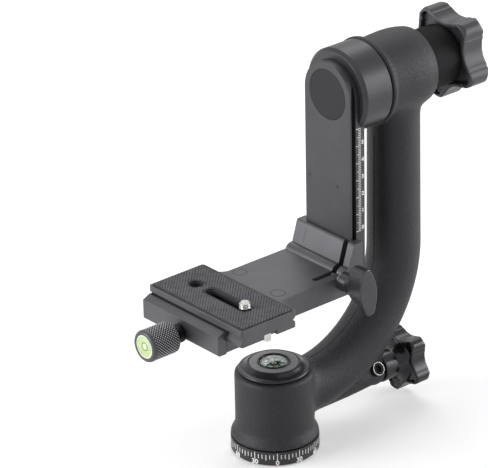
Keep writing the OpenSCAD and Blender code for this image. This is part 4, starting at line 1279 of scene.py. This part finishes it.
def studio_world():
    """World that lights softly and is white where it is seen."""
    world = bpy.data.worlds.new("studio")
    world.use_nodes = True
    tree = world.node_tree
    soft = set_inputs(tree.nodes["Background"], Color=WHITE, Strength=0.45)
    white = put(tree, "ShaderNodeBackground", Color=WHITE, Strength=1.0)
    mix = put(tree, "ShaderNodeMixShader")
    wire(tree, (seen_share(tree), mix.inputs[0]), (soft.outputs[0], mix.inputs[1]),
         (white.outputs[0], mix.inputs[2]), (mix.outputs[0], tree.nodes["World Output"].inputs["Surface"]))
    return world


def lamp(name, place, aim, width, power):
    light = bpy.data.lights.new(name, "AREA")
    light.size = width
    light.energy = power
    obj = link(light, name)
    obj.location = place
    obj.rotation_euler = (Vector(aim) - Vector(place)).to_track_quat("-Z", "Y").to_euler()


def photo_camera():
    """Camera that was fitted to the photo's edges."""
    eye = bpy.data.cameras.new("photo_view")
    eye.lens = 274.24
    eye.sensor_width = 36
    eye.clip_end = 20
    camera = link(eye, "photo_view")
    turn = (CAMERA_AIM - CAMERA_PLACE).to_track_quat("-Z", "Y").to_matrix().to_4x4()
    roll = Matrix.Rotation(CAMERA_ROLL, 4, "Z")
    camera.matrix_world = Matrix.Translation(CAMERA_PLACE) @ turn @ roll
    return camera


class GIMBAL_OT_stage(Operator):
    """White floor, soft lights and the camera."""

    bl_idname = "gimbal.stage"
    bl_label = "Stage"

    def execute(self, context):
        scene = context.scene
        scene.view_settings.view_transform = "Standard"
        mesh = bpy.data.meshes.new("floor")
        corners = ((-1, -1), (1, -1), (1, 1), (-1, 1))
        mesh.from_pydata([(x * FLOOR_HALF, y * FLOOR_HALF, FLOOR_Z) for x, y in corners], [], [(0, 1, 2, 3)])
        floor = link(mesh, "floor")
        mesh.materials.append(floor_white())
        scene.world = studio_world()
        lamp("left", (-1.35, 0.55, 0.5), (0, 0, 0.1), 1.0, 20)
        lamp("top", (0.6, 0.75, 1.35), (0.02, 0, 0.1), 1.1, 7)
        lamp("right", (1.25, -0.75, 0.45), (0.05, 0, 0.1), 0.9, 14)
        scene.camera = photo_camera()
        return {"FINISHED"}


# Add-on

STEPS = (GIMBAL_OT_solids, GIMBAL_OT_arm, GIMBAL_OT_grips, GIMBAL_OT_degree_scale, GIMBAL_OT_ruler,
         GIMBAL_OT_pad_relief, GIMBAL_OT_knurl, GIMBAL_OT_camera_screw, GIMBAL_OT_cap, GIMBAL_OT_compass,
         GIMBAL_OT_level, GIMBAL_OT_small_marks, GIMBAL_OT_stage)


class GIMBAL_PT_panel(Panel):
    """Sizes, colours and building steps of the gimbal head."""

    bl_idname = "GIMBAL_PT_panel"
    bl_label = "Gimbal head"
    bl_space_type = "VIEW_3D"
    bl_region_type = "UI"
    bl_category = "Gimbal"

    def draw(self, context):
        for name in GROUPS:
            group = getattr(context.scene, name)
            box = self.layout.box()
            for key in group.bl_rna.properties.keys():
                if key not in ("rna_type", "name"):
                    box.prop(group, key)
        for step in STEPS:
            self.layout.operator(step.bl_idname)


GROUPS = {"gimbal_scales": ScaleSizes, "gimbal_grips": GripSizes, "gimbal_colours": FinishColours}
CLASSES = (*GROUPS.values(), *STEPS, GIMBAL_PT_panel)


def register():
    for cls in CLASSES:
        bpy.utils.register_class(cls)
    for name, group in GROUPS.items():
        setattr(bpy.types.Scene, name, bpy.props.PointerProperty(type=group))


def unregister():
    for name in GROUPS:
        delattr(bpy.types.Scene, name)
    for cls in reversed(CLASSES):
        bpy.utils.unregister_class(cls)


def main():
    register()
    for step in STEPS:
        group, name = step.bl_idname.split(".")
        getattr(getattr(bpy.ops, group), name)()


if __name__ == "__main__":
    main()
